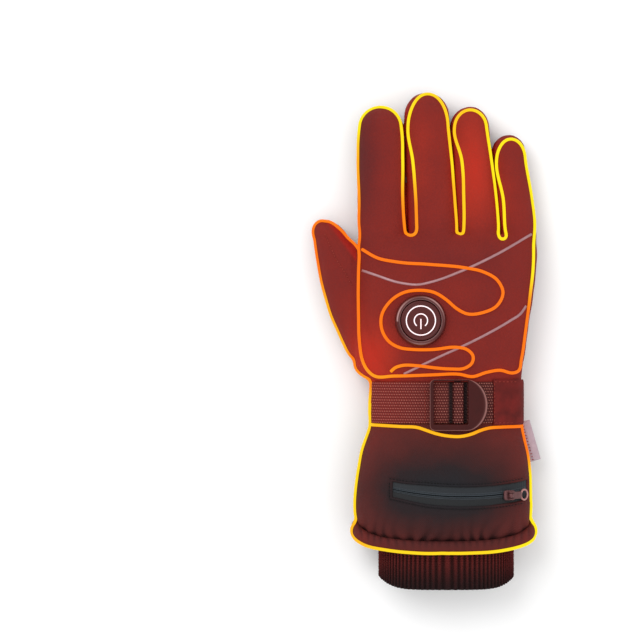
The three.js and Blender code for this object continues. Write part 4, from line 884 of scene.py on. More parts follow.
# Wrist strap
# Polyester webbing over the back of the neck. It passes under the buckle's frame and over its centre bar.
# It is a thin band, carried round the section of the neck, which lifts over the bar.
STRAP_Y = WRIST_Y + 1 * MM
WEBBING_WIDTH = 25 * MM
WEBBING_THICK = 1.5 * MM
GAP = 0.3 * MM
BUCKLE_LENGTH = 35 * MM
BUCKLE_HEIGHT = 31 * MM
BUCKLE_THICK = 2.8 * MM
BUCKLE_RIM = 2.4 * MM
CENTRE_BAR = 4 * MM
BAR_THICK = 1.4 * MM
TAB_SHARE = 0.34
BUCKLE_LEFT = HAND_LEFT + 0.392 * HAND_WIDTH
BUCKLE_Y = STRAP_Y - 1.5 * MM
window_left = BUCKLE_LEFT + BUCKLE_RIM
window_right = BUCKLE_LEFT + (1 - TAB_SHARE) * BUCKLE_LENGTH
BAR_AT = 0.7
bar_left = window_left + (window_right - window_left) * BAR_AT - CENTRE_BAR / 2
PATCH_LEFT = BUCKLE_LEFT + BUCKLE_LENGTH + 3 * MM


def neck_top(x, lift):
    """Height of the neck's upper side, grown by lift, at a place across it."""
    half, above = NECK[2] + lift, NECK[4] + lift
    share = np.clip(np.abs(x - NECK[1]) / half, 0, 1)
    return NECK[3] + above * (1 - share**ROUNDNESS) ** (1 / ROUNDNESS)


def strap_lift(x):
    """The webbing turns up steeply over the bar and down again, and lies flat elsewhere."""
    climb = step(x, bar_left - 1.7 * MM, bar_left - 0.3 * MM)
    fall = step(x, bar_left + CENTRE_BAR + 0.3 * MM, bar_left + CENTRE_BAR + 1.7 * MM)
    return (0.7 * MM + BAR_THICK) * (climb - fall)


def strap_shade(x):
    """Dark where the webbing dives beside the bar."""
    left = hill(x, bar_left - 2.2 * MM, 1.3 * MM)
    right = hill(x, bar_left + CENTRE_BAR + 2.2 * MM, 1.3 * MM)
    return np.clip(1.3 * (left + right), 0, 1)


def band(name, from_angle, to_angle, lift, thick, width, y, finish, count=160, ribs=None):
    """A closed band: its rounded oblong profile is carried round the neck from one angle to another."""
    angle = np.linspace(from_angle, to_angle, count)
    profile = turn(40)
    across = np.sign(np.cos(profile)) * np.abs(np.cos(profile)) ** 0.22 * width / 2
    rise = (0.5 + 0.5 * np.sign(np.sin(profile)) * np.abs(np.sin(profile)) ** 0.6) * thick
    base = on_section(np.broadcast_to(NECK, (count, 7)), angle)
    way = on_section(grown(NECK, 1 * MM)[None, :] + np.zeros((count, 1)), angle) - base
    way /= np.linalg.norm(way, axis=-1, keepdims=True)
    level = GAP + lift(base[:, 0])
    grid = base[:, None, :] + way[:, None, :] * (level[:, None] + rise[None, :])[..., None]
    grid[..., 1] = y + across[None, :]
    points, faces = tube_parts(grid)
    piece = outward(mesh_piece(name, points, faces, finish))
    run = np.r_[0, np.cumsum(np.linalg.norm(np.diff(base, axis=0), axis=1))]
    shade = strap_shade(base[:, 0])
    marked(piece, run=np.r_[np.repeat(run, 40), run[0], run[-1]] / MM, shade=np.r_[np.repeat(shade, 40), 0, 0])
    return piece


webbing = Finish("strap_webbing", Roughness=0.65, Specular_IOR_Level=0.2)
across_yarn = (webbing.place(1) * 3.7).sine()
along_yarn = (webbing.mark("run") * 4.3 + webbing.place(1) * 1.85).sine()
yarn_dots = across_yarn.above(-0.1, 0.8) * along_yarn.above(-0.2, 0.9)
web_base = webbing.mix(webbing.place(0).above(-36, 30), "#7e1e18", "#501715")
# Painted shade in the grooves between the ribs of the yarn.
web_groove_shade = webbing.mix(across_yarn.above(-0.2, -0.9) * 0.5, web_base, "#2c0a09")
# Painted highlights: pale dots on the crowns of the yarn.
web_painted_highlights = webbing.mix(yarn_dots * (0.35 + webbing.noise(3) * 0.5), web_groove_shade, "#c78474")
webbing.set(Base_Color=webbing.mix(webbing.mark("shade"), web_painted_highlights, "#1d0607"))
webbing.relief(across_yarn * 0.6 + yarn_dots + webbing.noise(0.6) * 0.3, 0.3)

strap_end_x = BUCKLE_LEFT + BUCKLE_LENGTH * 0.83
neck_grown = grown(NECK, GAP)
strap = band(
    "wrist_strap", np.radians(160), angle_at(neck_grown, strap_end_x), strap_lift, WEBBING_THICK,
    WEBBING_WIDTH, STRAP_Y, webbing, 420,
)
belongs(strap, "webbing", "strap_webbing")
anchor = band(
    "strap_anchor_loop", angle_at(neck_grown, strap_end_x + GAP), angle_at(neck_grown, PATCH_LEFT - GAP),
    lambda x: 0 * x, WEBBING_THICK, WEBBING_WIDTH, STRAP_Y, webbing, 30,
)
belongs(anchor, "webbing", "strap_anchor")

patch_leather = Finish("patch_leather", Roughness=0.5, Specular_IOR_Level=0.12)
patch_grain = patch_leather.noise(0.8, 3)
patch_leather.set(Base_Color=patch_leather.ramp(patch_leather.noise(7, 3), [(0.3, "#521513"), (0.7, "#6a1b18")]))
patch_leather.set(Roughness=0.42 + patch_grain * 0.25)
patch_leather.relief(patch_grain, 0.12)
patch = band(
    "strap_patch_leather", angle_at(neck_grown, PATCH_LEFT), np.radians(14), lambda x: 0 * x,
    2.2 * MM, 27.6 * MM, STRAP_Y, patch_leather, 60,
)
belongs(patch, "palm_leather", "strap_patch")

# Buckle
# Moulded acetal: a frame with a window, a bar across it that the webbing turns over, and a D-shaped grip.
# The frame is a rounded profile carried between its outer outline and its window, bent to the neck.
acetal = Finish("buckle_acetal", Roughness=0.42, Specular_IOR_Level=0.16)
acetal_fine = acetal.noise(0.7, 2)
acetal_base = acetal.mix(acetal.noise(8, 2), "#300b0a", "#420f0d")
# Painted highlight: the marked rim takes a light line along the frame's outer top edge.
acetal.set(Base_Color=acetal.mix(acetal.mark("rim"), acetal_base, "#a87570"))
acetal.set(Roughness=0.3 + acetal_fine * 0.2)
acetal.relief(acetal_fine, 0.05)


def rounded_outline(x0, x1, y0, y1, corner_left, grip, count):
    """Closed outline of a D: small round corners at the left, half an ellipse of length grip at the right."""
    t = np.linspace(-np.pi / 2, np.pi / 2, count // 2)
    right = np.stack([x1 - grip + grip * np.cos(t), (y0 + y1) / 2 + (y1 - y0) / 2 * np.sin(t)], axis=-1)
    q = np.linspace(0, np.pi / 2, count // 8)
    top_left = np.stack([x0 + corner_left * (1 - np.sin(q)), y1 - corner_left * (1 - np.cos(q))], axis=-1)
    low_left = np.stack([x0 + corner_left * (1 - np.cos(q)), y0 + corner_left * (1 - np.sin(q))], axis=-1)
    return even_line(np.vstack([right, top_left, low_left]), count, True, 1)


def even_line(points, count, closed=False, degree=3):
    """A line through points, sampled at equal steps of its own length: cubic, or straight where degree is 1."""
    points = np.asarray(points, float)
    n = len(points)
    if closed:
        points = np.vstack([points[-3:], points, points[:4]])
    chord = np.r_[0, np.cumsum(np.linalg.norm(np.diff(points, axis=0), axis=1))]
    low, high = (chord[3], chord[3 + n]) if closed else (0, chord[-1])
    at = np.linspace(low, high, count * 6)
    if degree == 3:
        fine = eased(at, chord, points)
    else:
        fine = np.stack([np.interp(at, chord, column) for column in points.T], axis=-1)
    run = np.r_[0, np.cumsum(np.linalg.norm(np.diff(fine, axis=0), axis=1))]
    even = np.linspace(0, run[-1], count, endpoint=not closed)
    return np.stack([np.interp(even, run, column) for column in fine.T], axis=-1)


frame_level = WEBBING_THICK + 3 * GAP
outer_line = rounded_outline(
    BUCKLE_LEFT, BUCKLE_LEFT + BUCKLE_LENGTH, BUCKLE_Y - BUCKLE_HEIGHT / 2, BUCKLE_Y + BUCKLE_HEIGHT / 2,
    3 * MM, BUCKLE_LENGTH * TAB_SHARE * 1.1, 160,
)
window_half = WEBBING_WIDTH / 2 + 2 * GAP
middle_x, half_x = (window_left + window_right) / 2, (window_right - window_left) / 2
way = outer_line - (middle_x, STRAP_Y)
reach = np.minimum(half_x / np.maximum(1e-9, np.abs(way[:, 0])), window_half / np.maximum(1e-9, np.abs(way[:, 1])))
inner_line = (middle_x, STRAP_Y) + way * np.minimum(reach, 0.97)[:, None]
rim_turn = turn(24)
rim_across = 0.5 - 0.5 * np.sign(np.cos(rim_turn)) * np.abs(np.cos(rim_turn)) ** 0.45
rim_rise = 0.5 + 0.5 * np.sign(np.sin(rim_turn)) * np.abs(np.sin(rim_turn)) ** 0.45
flat = outer_line[:, None, :] + (inner_line - outer_line)[:, None, :] * rim_across[None, :, None]
dish = 0.7 * MM * step(flat[..., 0], window_right, BUCKLE_LEFT + BUCKLE_LENGTH) * np.sin(np.pi * rim_across) ** 2
height = rim_rise * BUCKLE_THICK - dish * (rim_rise > 0.5)
buckle_grid = np.stack([flat[..., 0], flat[..., 1], neck_top(flat[..., 0], frame_level) + height], axis=-1)
buckle = ring_piece("buckle_frame", buckle_grid.transpose(1, 0, 2), acetal)
# Painted highlight along the outer top edge of the frame.
rim_painted_highlight = hill(rim_across, 0.05, 0.05)[None, :] * step(height, 0.6 * BUCKLE_THICK, BUCKLE_THICK)
marked(buckle, rim=(0.85 * rim_painted_highlight).T.ravel())
belongs(buckle, "buckle_plastic", "buckle")

bar_y = np.linspace(STRAP_Y - window_half - 1 * MM, STRAP_Y + window_half + 1 * MM, 24)
bar_turn = turn(24)
bar_x = bar_left + CENTRE_BAR / 2 + np.sign(np.cos(bar_turn)) * np.abs(np.cos(bar_turn)) ** 0.6 * CENTRE_BAR / 2
bar_z = (0.5 + 0.5 * np.sign(np.sin(bar_turn)) * np.abs(np.sin(bar_turn)) ** 0.6) * BAR_THICK
bar_grid = np.stack(np.broadcast_arrays(
    bar_x[None, :], bar_y[:, None], (neck_top(bar_x, frame_level) - frame_level + 2 * GAP + bar_z)[None, :]
), axis=-1)
bar_points, bar_faces = tube_parts(bar_grid)
bar = outward(mesh_piece("buckle_bar", bar_points, bar_faces, acetal))
belongs(bar, "buckle_plastic")

# Switch
# A silicone moulding on the back of the hand: a raised rim, and a cap inside it that is pressed.
# Rim and cap are turned profiles. The white ring and the power symbol are lines of clear silicone in the cap.
SWITCH_X = across_hand(0.341)
SWITCH_Y = along_hand(0.491)
SWITCH_RADIUS = 14.5 * MM
cap_low, cap_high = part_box("switch_cap")
CAP_TOP = cap_high[2]


def turned(name, profile, finish, count=96):
    """A profile of radius and height, turned about the switch's axis, with a pole at each end."""
    radius, height = np.asarray(profile, float).T
    angle = turn(count)
    grid = np.stack(np.broadcast_arrays(
        SWITCH_X + radius[:, None] * np.cos(angle), SWITCH_Y + radius[:, None] * np.sin(angle), height[:, None]
    ), axis=-1)
    points, faces = tube_parts(grid)
    return outward(mesh_piece(name, points, faces, finish))


silicone = Finish("switch_silicone", Roughness=0.35, Specular_IOR_Level=0.25, Coat_Roughness=0.3)
silicone_fine = silicone.noise(1.0, 2)
silicone_base = silicone.mix(silicone.noise(9), "#401312", "#541715")
silicone.set(Base_Color=silicone.mix(silicone.mark("glint"), silicone_base, "#c9a09c"))
silicone.set(Roughness=0.34 + silicone_fine * 0.18, Coat_Weight=silicone_fine * 0.1)
silicone.relief(silicone_fine, 0.05)
rim_top = CAP_TOP + 0.5 * MM
rim_profile = even_line(np.array([
    (0.2, -9), (14.2, -9), (15.6, -4.6), (15.2, -3.4), (14.9, -2.2), (14.6, -0.9), (14.0, -0.2), (13.3, 0.1),
    (12.8, -0.25), (12.5, -0.9), (12.45, -2.4), (12.3, -3.7), (0.2, -3.8),
]) * MM + (0, rim_top), 90, False, 1)
rim = turned("switch_rim", rim_profile, silicone)
rim_spots = points_of(rim.data) - (SWITCH_X, SWITCH_Y, rim_top)
rim_radius = np.hypot(rim_spots[:, 0], rim_spots[:, 1])
rim_angle = np.arctan2(rim_spots[:, 1], rim_spots[:, 0])
crescents = hill(rim_angle, np.radians(165), 0.75) + hill(rim_angle, np.radians(48), 0.6) + 0.6 * hill(rim_angle, -1.6, 0.5)
glint = 0.75 * hill(rim_radius, 14.2 * MM, 0.4 * MM) * crescents + 0.35 * hill(rim_radius, 12.7 * MM, 0.25 * MM)
marked(rim, glint=np.clip(glint, 0, 1) * (rim_spots[:, 2] > -2 * MM))
belongs(rim, "switch_silicone", "switch_housing")
cap_profile = even_line(np.array([
    (0.2, -1.8), (12.0, -1.8), (12.15, -1.0), (12.0, -0.35), (11.6, -0.08), (11.0, -0.02), (10.4, -0.22),
    (9.9, -0.12), (9.0, -0.02), (4, 0.0), (0.2, 0.0),
]) * MM + (0, CAP_TOP), 80, False, 1)
cap = turned("switch_cap_dome", cap_profile, silicone)
belongs(cap, "switch_silicone", "switch_cap", body="switch_button")

clear_light = Finish("switch_light", Roughness=0.4, Emission_Strength=0.5)
clear_light.set(Base_Color=clear_light.mix(clear_light.noise(2), "#ecd6da", "#f6eaec"))
clear_light.set(Emission_Color=clear_light.mix(clear_light.noise(2), "#d8b8bd", "#eed8dc"))


def cord_rings(path, radius, count, closed, flatten=1.0):
    """Rings across a path: radius times (cos a * side + sin a * up), where side lies level."""
    ahead = (np.roll(path, -1, axis=0) - np.roll(path, 1, axis=0)) if closed else np.gradient(path, axis=0)
    ahead /= np.linalg.norm(ahead, axis=1, keepdims=True)
    level = np.cross(ahead, (0, 0, 1.0))
    level /= np.linalg.norm(level, axis=1, keepdims=True)
    rise = np.cross(level, ahead)
    a = turn(count)[None, :, None]
    return path[:, None, :] + radius * (np.cos(a) * level[:, None, :] + flatten * np.sin(a) * rise[:, None, :])


def round_wire(name, path, radius, finish, closed=False, count=12, flatten=1.0):
    rings = cord_rings(path, radius, count, closed, flatten)
    if closed:
        return ring_piece(name, rings, finish)
    points, faces = tube_parts(rings)
    return outward(mesh_piece(name, points, faces, finish))


def arc(radius, start, end, count):
    a = np.linspace(start, end, count)
    ones = np.ones(count)
    return np.stack([SWITCH_X + radius * np.cos(a), SWITCH_Y + radius * np.sin(a), ones * (CAP_TOP - 0.05 * MM)], -1)


LIGHT_LINE = 0.36 * MM
light_ring = round_wire("light_ring", arc(8.75 * MM, 0, 2 * np.pi, 97)[:-1], LIGHT_LINE, clear_light, True, 12, 0.6)
belongs(light_ring, "switch_light", "switch_light_ring", body="switch_button")
symbol_arc = round_wire(
    "power_symbol_arc", arc(4.0 * MM, np.radians(-52), np.radians(232), 60), LIGHT_LINE, clear_light, False, 12, 0.6
)
belongs(symbol_arc, "switch_light", "switch_symbol_arc", body="switch_button")
bar_line = np.stack(np.broadcast_arrays(
    SWITCH_X, SWITCH_Y + np.linspace(1.0, -5.2, 12) * MM, CAP_TOP - 0.05 * MM), axis=-1)
symbol_bar = round_wire("power_symbol_bar", bar_line, LIGHT_LINE, clear_light, False, 12, 0.6)
belongs(symbol_bar, "switch_light", "switch_symbol_bar", body="switch_button")

# Reflective piping
# Two narrow reflective tapes over the back of the hand, welded on. Each is a crowned strip laid on the skin.
form_points = np.vstack([points_of(skin_mesh), sleeve_outer.reshape(-1, 3), hem_grid.reshape(-1, 3)])
skin_faces = np.empty(len(skin_mesh.polygons), int)
base_sleeve = len(skin_mesh.vertices)
base_hem = base_sleeve + sleeve_outer.shape[0] * AROUND
form = mesh_piece("form", form_points, (
    [tuple(p.vertices) for p in skin_mesh.polygons]
    + grid_faces(sleeve_outer.shape[0], AROUND, True, False, base_sleeve)
    + grid_faces(AROUND, 28, True, True, base_hem)
))


def laid(points, lift, straight=None):
    """Points moved to the glove's skin and lift above it: to the nearest place, or straight down or up."""
    shape = np.shape(points)
    mesh = bpy.data.meshes.new("laid")
    mesh.from_pydata(np.reshape(points, (-1, 3)).tolist(), [], [])
    moved = bpy.data.objects.new("laid", mesh)
    bpy.context.collection.objects.link(moved)
    wrap = moved.modifiers.new("lay", "SHRINKWRAP")
    wrap.target = form
    wrap.wrap_mode = "ABOVE_SURFACE"
    wrap.offset = lift
    if straight:
        wrap.wrap_method = "PROJECT"
        wrap.use_project_z = True
        wrap.use_negative_direction = straight == "down"
        wrap.use_positive_direction = straight == "up"
    else:
        wrap.wrap_method = "NEAREST_SURFACEPOINT"
    result = points_of(applied(moved)).reshape(shape)
    bpy.data.objects.remove(moved)
    return result


piping_tape = Finish("reflective_tape", Roughness=0.35, Specular_IOR_Level=0.7, Metallic=0.25)
beads = piping_tape.noise(0.5, 2)
piping_tape.set(Base_Color=piping_tape.mix(piping_tape.noise(5), "#8c5f63", "#ab7f83"))
piping_tape.set(Roughness=0.3 + beads * 0.3)
piping_tape.relief(beads, 0.06)
UPPER_PIPING = [
    (-39.3, 41.8), (-31.1, 38.9), (-15.3, 33.9), (-4.8, 33.0), (3.0, 34.7), (20.1, 40.9), (42.4, 51.4), (64.4, 64.0),
]
LOWER_PIPING = [
    (60.6, 20.2), (56.8, 15.3), (50.3, 11.1), (25.3, -2.4), (6.9, -10.9), (-14.0, -21.2),
]


def plan_line(table, count, closed=False):
    """A smooth line in plan through places given in millimetres."""
    return even_line(np.array(table) * MM, count, closed)


def strip(name, line, width, proud, finish):
    """A crowned strip along a line in plan, laid on the skin: its height is proud * (1 - v^4)."""
    ahead = np.gradient(line, axis=0)
    ahead /= np.linalg.norm(ahead, axis=1, keepdims=True)
    cross = np.stack([-ahead[:, 1], ahead[:, 0]], axis=-1)
    v = np.linspace(-1, 1, 9)
    plan = line[:, None, :] + cross[:, None, :] * v[None, :, None] * width / 2
    high = np.concatenate([plan, np.full((*plan.shape[:2], 1), 80 * MM)], axis=-1)
    upper = laid(high, 0, "down")
    lower = upper - (0, 0, 0.6 * MM)
    upper[..., 2] += proud * (1 - v**4)[None, :]
    grid = np.concatenate([upper, lower[:, ::-1]], axis=1)
    points, faces = tube_parts(grid)
    return outward(mesh_piece(name, points, faces, finish))


for name, row in (("upper", UPPER_PIPING), ("lower", LOWER_PIPING)):
    tape = strip(f"reflective_tape_{name}", plan_line(row, 120), 1.6 * MM, 0.45 * MM, piping_tape)
    belongs(tape, "reflective_piping", f"reflective_piping_{name}")

# Palm panels
# A printed grip panel and the smooth leather of the thumb's web, both sewn into the palm. Each is a sheet between
# two edges, laid on the palm from below; its edges turn in by the tenth power of the place across it.
GRIP_LEFT = [(0.1, 0.425), (0.28, 0.41), (0.435, 0.385), (0.55, 0.33), (0.66, 0.185), (0.755, 0.09), (0.88, 0.06)]
GRIP_RIGHT = [(0.1, 0.86), (0.4, 0.93), (0.82, 0.955)]
GRIP_TOP = [(0.06, 0.88), (0.26, 0.89), (0.68, 0.86), (0.955, 0.82)]
WEB_LEFT = [(0.1, 0.31), (0.21, 0.24), (0.385, 0.155), (0.56, 0.06), (0.78, 0.04)]
WEB_RIGHT = [(0.1, 0.395), (0.275, 0.38), (0.42, 0.355), (0.52, 0.305), (0.615, 0.165), (0.7, 0.075), (0.78, 0.045)]
PANEL_LOW = 0.1


def shares_between(left, right, top, t, v):
    """Places of a panel: v runs from its left edge to its right one, and t from its low end to its top line."""
    (left_y, left_x), (right_y, right_x), (top_x, top_y) = (np.array(table).T for table in (left, right, top))
    y = PANEL_LOW + t * (top_y.mean() - PANEL_LOW)
    for _ in range(5):
        x = (1 - v) * np.interp(y, left_y, left_x) + v * np.interp(y, right_y, right_x)
        y = PANEL_LOW + t * (np.interp(x, top_x, top_y) - PANEL_LOW)
    return across_hand(x), along_hand(y)


def under_palm(x, y, lift):
    """Plan places carried up to the palm from below."""
    return laid(np.stack(np.broadcast_arrays(x, y, -20 * MM), axis=-1), lift, "up")


def panel(name, left, right, top, proud, finish):
    t, v = np.meshgrid(np.linspace(0, 1, 90), np.linspace(0, 1, 60), indexing="ij")
    lower = under_palm(*shares_between(left, right, top, t, v), 0)
    lower[..., 2] -= proud * (1 - (2 * v - 1) ** 10) * (1 - (2 * t - 1) ** 10)
    lower[..., 2] = np.maximum(lower[..., 2], 0.1 * MM)
    grid = np.concatenate([lower, (lower + (0, 0, 0.9 * MM))[:, ::-1]], axis=1)
    points, faces = tube_parts(grid)
    return outward(mesh_piece(name, points, faces, finish))


print_cloth = Finish("grip_cloth", Roughness=0.7, Specular_IOR_Level=0.2)
print_fine = print_cloth.noise(0.8, 3)
print_side = print_cloth.place(0).above(20, 62)
print_cloth.set(Base_Color=print_cloth.mix(print_side, "#191b1f", "#4a1d20"), Roughness=0.6 + print_fine * 0.25)
print_cloth.relief(print_fine, 0.15)
grip = panel("grip_panel_cloth", GRIP_LEFT, GRIP_RIGHT, GRIP_TOP, 0.35 * MM, print_cloth)
belongs(grip, "grip_print", "grip_panel")
web_leather = Finish("web_leather", Roughness=0.55, Specular_IOR_Level=0.25)
web_fine = web_leather.noise(1.0, 3)
web_leather.set(Base_Color=web_leather.mix(web_leather.noise(12, 3), "#20262d", "#2e353e"))
web_leather.set(Roughness=0.48 + web_fine * 0.25)
web_leather.relief(web_fine, 0.15)
web = panel("thumb_web_leather", WEB_LEFT, WEB_RIGHT, [(0.0, 0.78), (1.0, 0.78)], 0.35 * MM, web_leather)
belongs(web, "palm_leather", "thumb_web_panel")


def spindles(name, starts, ends, radius, finish, flatten=1.0):
    """Short closed threads from each start to its end: five rings of six points, thinner towards both ends."""
    way = ends - starts
    side = np.cross(way, (0, 0, 1.0))
    side /= np.linalg.norm(side, axis=1, keepdims=True)
    up = np.cross(side, way)
    up /= np.linalg.norm(up, axis=1, keepdims=True)
    places = np.array([0, 0.15, 0.5, 0.85, 1])
    sizes = np.array([0.3, 0.85, 1, 0.85, 0.3]) * radius
    angle = turn(6)
    around = np.cos(angle)[:, None] * side[:, None, None, :] + flatten * np.sin(angle)[:, None] * up[:, None, None, :]
    middle = starts[:, None, None, :] + places[:, None, None] * way[:, None, None, :]
    points = middle + sizes[:, None, None] * around
    first = np.arange(len(starts))[:, None, None] * 30
    faces = (np.array(grid_faces(5, 6, True, False))[None] + first).reshape(-1, 4).tolist()
    caps = np.array([[5, 4, 3, 2, 1, 0], [24, 25, 26, 27, 28, 29]])
    faces += (caps[None] + first).reshape(-1, 6).tolist()
    return outward(mesh_piece(name, points.reshape(-1, 3), faces, finish))


silver = Finish("grip_print_silver", Roughness=0.45, Metallic=0.3, Specular_IOR_Level=0.3)
silver_side = silver.place(0).above(20, 62)
silver.set(Base_Color=silver.mix(silver_side, silver.mix(silver.noise(6), "#5c5d61", "#8a8a8c"), "#7a3436"))
silver.relief(silver.noise(0.7), 0.1)
DASH_COLUMN = 4.4 * MM
DASH_ROW = 2.6 * MM
DASH_LENGTH = 2.5 * MM
column, row = np.meshgrid(np.arange(24), np.arange(34), indexing="ij")
dash_x = (HAND_LEFT + 4 * MM + column * DASH_COLUMN).ravel()
dash_y = (along_hand(PANEL_LOW) + 3 * MM + row * DASH_ROW).ravel()
dash_turn = np.where((column + row) % 2 == 0, 1, -1).ravel() * np.radians(30)
across_share = (dash_x - HAND_LEFT) / HAND_WIDTH
along_share = (dash_y - WRIST_Y) / HAND_LENGTH
(left_y, left_x), (right_y, right_x), (top_x, top_y) = (np.array(table).T for table in (GRIP_LEFT, GRIP_RIGHT, GRIP_TOP))
inside = across_share > np.interp(along_share, left_y, left_x) + 0.03
inside &= across_share < np.interp(along_share, right_y, right_x) - 0.03
inside &= along_share < np.interp(across_share, top_x, top_y) - 0.03
dash_x, dash_y, dash_turn = dash_x[inside], dash_y[inside], dash_turn[inside]
half_x, half_y = np.sin(dash_turn) * DASH_LENGTH / 2, np.cos(dash_turn) * DASH_LENGTH / 2
dash_from = under_palm(dash_x - half_x, dash_y - half_y, 0.4 * MM)
dash_to = under_palm(dash_x + half_x, dash_y + half_y, 0.4 * MM)
dash_from[:, 2] = np.maximum(dash_from[:, 2], 0.2 * MM)
dash_to[:, 2] = np.maximum(dash_to[:, 2], 0.2 * MM)
dashes = spindles("grip_print_dashes", dash_from, dash_to, 0.34 * MM, silver, 0.5)
belongs(dashes, "grip_print")

# Zip
# A coil zip with a coated tape, let into the back of the sleeve. Each half of the tape is a strip with a bead
# at the zip's middle line, and it follows the sleeve's section.
zip_tape = Finish("zip_tape", Roughness=0.5, Specular_IOR_Level=0.3)
tape_line = (zip_tape.place(0) * 4.5).sine()
# Painted light: the upper half of the tape is lighter than the lower half.
tape_base = zip_tape.mix(zip_tape.mark("upper_half"), "#0f1215", "#191e23")
tape_lined = zip_tape.mix(zip_tape.mark("coil") * (0.5 + zip_tape.noise(4) * 0.4), tape_base, "#3c444b")
zip_tape.set(Base_Color=zip_tape.mix(zip_tape.mark("shadow"), tape_lined, "#07080a"))
zip_tape.set(Roughness=0.42 + zip_tape.noise(1.0) * 0.2)
zip_tape.relief(tape_line * 0.5 + zip_tape.noise(0.6), 0.08)
zip_x = np.linspace(ZIP_START - 0.5 * MM, ZIP_START + ZIP_LENGTH + 0.5 * MM, 180)
zip_y = zip_middle(zip_x)


def over_sleeve(x, y):
    """Height of the plain sleeve over a place of its back."""
    along = np.full(np.shape(x), ZIP_ALONG)
    for _ in range(6):
        s = cuff_sections(along, 0)
        angle = angle_at(s, x)
        along = along + (on_cuff(along, angle)[..., 1] - y) / CUFF_LENGTH
    return on_cuff(along, angle)[..., 2]


for name, sign in (("upper", 1), ("lower", -1)):
    v = np.linspace(0.015, 1.04, 44)
    y = zip_y[:, None] + sign * v[None, :] * zip_half(zip_x)[:, None]
    x = zip_x[:, None] + 0 * y
    coils = hill(v, 0.1, 0.05) + 0.7 * hill(v, 0.27, 0.05)
    sink = (-0.9 + 0.4 * coils - 0.4 * hill(v, 0.0, 0.03)) * MM
    upper = np.stack([x, y, over_sleeve(x, y) + sink[None, :]], axis=-1)
    grid = np.concatenate([upper, (upper - (0, 0, 0.6 * MM))[:, ::-1]], axis=1)
    ends = np.exp(-(zip_x - zip_x[0]) / (0.9 * MM))[:, None]
    shadow = np.maximum(ends, hill(v, 1.02, 0.13 if sign > 0 else 0.07)[None, :])
    points, faces = tube_parts(grid)
    half_tape = outward(mesh_piece(f"zip_tape_{name}_cloth", points, faces, zip_tape))
    # The upper half is marked for its painted light.
    over = {"coil": 0 * ends + coils, "shadow": shadow, "upper_half": 0 * ends + 0 * v + (sign > 0)}
    marked(half_tape, **{key: np.r_[np.hstack([f, f[:, ::-1]]).ravel(), 0, 0] for key, f in over.items()})
    belongs(half_tape, "zip_cloth", f"zip_tape_{name}")

# Zip slider and pull
# Cast zinc, lacquered dark. The slider's body carries two ears and a pin, and the pull hangs on the pin.
zinc = Finish("zip_zinc", Metallic=0.35, Roughness=0.4)
zinc_fine = zinc.noise(0.6, 2)
zinc.set(Base_Color=zinc.mix(zinc.noise(2.5), "#472224", "#6e4444"), Roughness=0.25 + zinc_fine * 0.3)
zinc.relief(zinc_fine, 0.04)


def block(name, low, high, finish, power=0.35, tilt=0.0):
    """A rounded block between two corners: a superquadric whose sines and cosines have a small power."""
    low, high = np.asarray(low), np.asarray(high)
    lat = np.linspace(-np.pi / 2, np.pi / 2, 26)[1:-1, None]
    lon = turn(48)[None, :]

    def soft(value):
        return np.sign(value) * np.abs(value) ** power

    unit = np.stack(np.broadcast_arrays(
        soft(np.cos(lat)) * soft(np.cos(lon)), soft(np.cos(lat)) * soft(np.sin(lon)), soft(np.sin(lat))
    ), axis=-1)
    grid = unit * (high - low) / 2
    c, s = np.cos(tilt), np.sin(tilt)
    x, z = grid[..., 0] * c + grid[..., 2] * s, grid[..., 2] * c - grid[..., 0] * s
    grid = np.stack([x, grid[..., 1], z], axis=-1) + (high + low) / 2
    points, faces = tube_parts(grid)
    return outward(mesh_piece(name, points, faces, finish))


SLIDER_SEAT = np.array([48.956, -93.942, 37.718]) * MM
SLIDER_TILT = 0.3519
PULL_TILT = SLIDER_TILT + np.radians(25)
slider_up = np.array([np.sin(SLIDER_TILT), 0, np.cos(SLIDER_TILT)])
pivot = SLIDER_SEAT + 4.1 * MM * slider_up
pull_way = np.array([np.cos(PULL_TILT), 0, -np.sin(PULL_TILT)])
RING_AT = 11.8 * MM


def tilted_block(name, centre, size, finish, power, tilt):
    half = np.array(size) * MM / 2
    return block(name, centre - half, centre + half, finish, power, tilt)


def cross_pin(name, radius, length, finish):
    """A round pin along y through the pivot, with rounded ends."""
    reach = np.array([-1, -0.92, 0.92, 1]) * length / 2
    size = np.array([0.75, 1, 1, 0.75]) * radius
    angle = turn(20)
    grid = np.stack(np.broadcast_arrays(
        pivot[0] + size[:, None] * np.cos(angle), pivot[1] + reach[:, None], pivot[2] + size[:, None] * np.sin(angle)
    ), axis=-1)
    points, faces = tube_parts(grid)
    return outward(mesh_piece(name, points, faces, finish))


body = tilted_block("slider_body", SLIDER_SEAT + 1.1 * MM * slider_up, (7.2, 6.0, 2.2), zinc, 0.4, SLIDER_TILT)
belongs(body, "zip_metal", "zip_slider")
for side in (-1, 1):
    ear_at = SLIDER_SEAT + 3.2 * MM * slider_up + (0, side * 2.1 * MM, 0)
    ear = tilted_block(f"slider_ear_{'low' if side < 0 else 'high'}", ear_at, (3.4, 0.9, 4.0), zinc, 0.5, SLIDER_TILT)
    belongs(ear, "zip_metal")
belongs(cross_pin("slider_pin", 0.6 * MM, 5.4 * MM, zinc), "zip_metal")
pull = tilted_block("pull_tab", pivot + 5.2 * MM * pull_way, (8.6, 4.3, 1.3), zinc, 0.35, PULL_TILT)
belongs(pull, "zip_metal", "zip_pull", body="zip_tab")
belongs(cross_pin("pull_eye", 1.5 * MM, 2.6 * MM, zinc), "zip_metal", body="zip_tab")
a = turn(64)[:, None]
ring_path = pivot + pull_way * (RING_AT + 3.05 * MM * np.cos(a)) + np.array([0, 1, 0]) * 3.05 * MM * np.sin(a)
bright_zinc = Finish("ring_zinc", Metallic=0.6, Roughness=0.3)
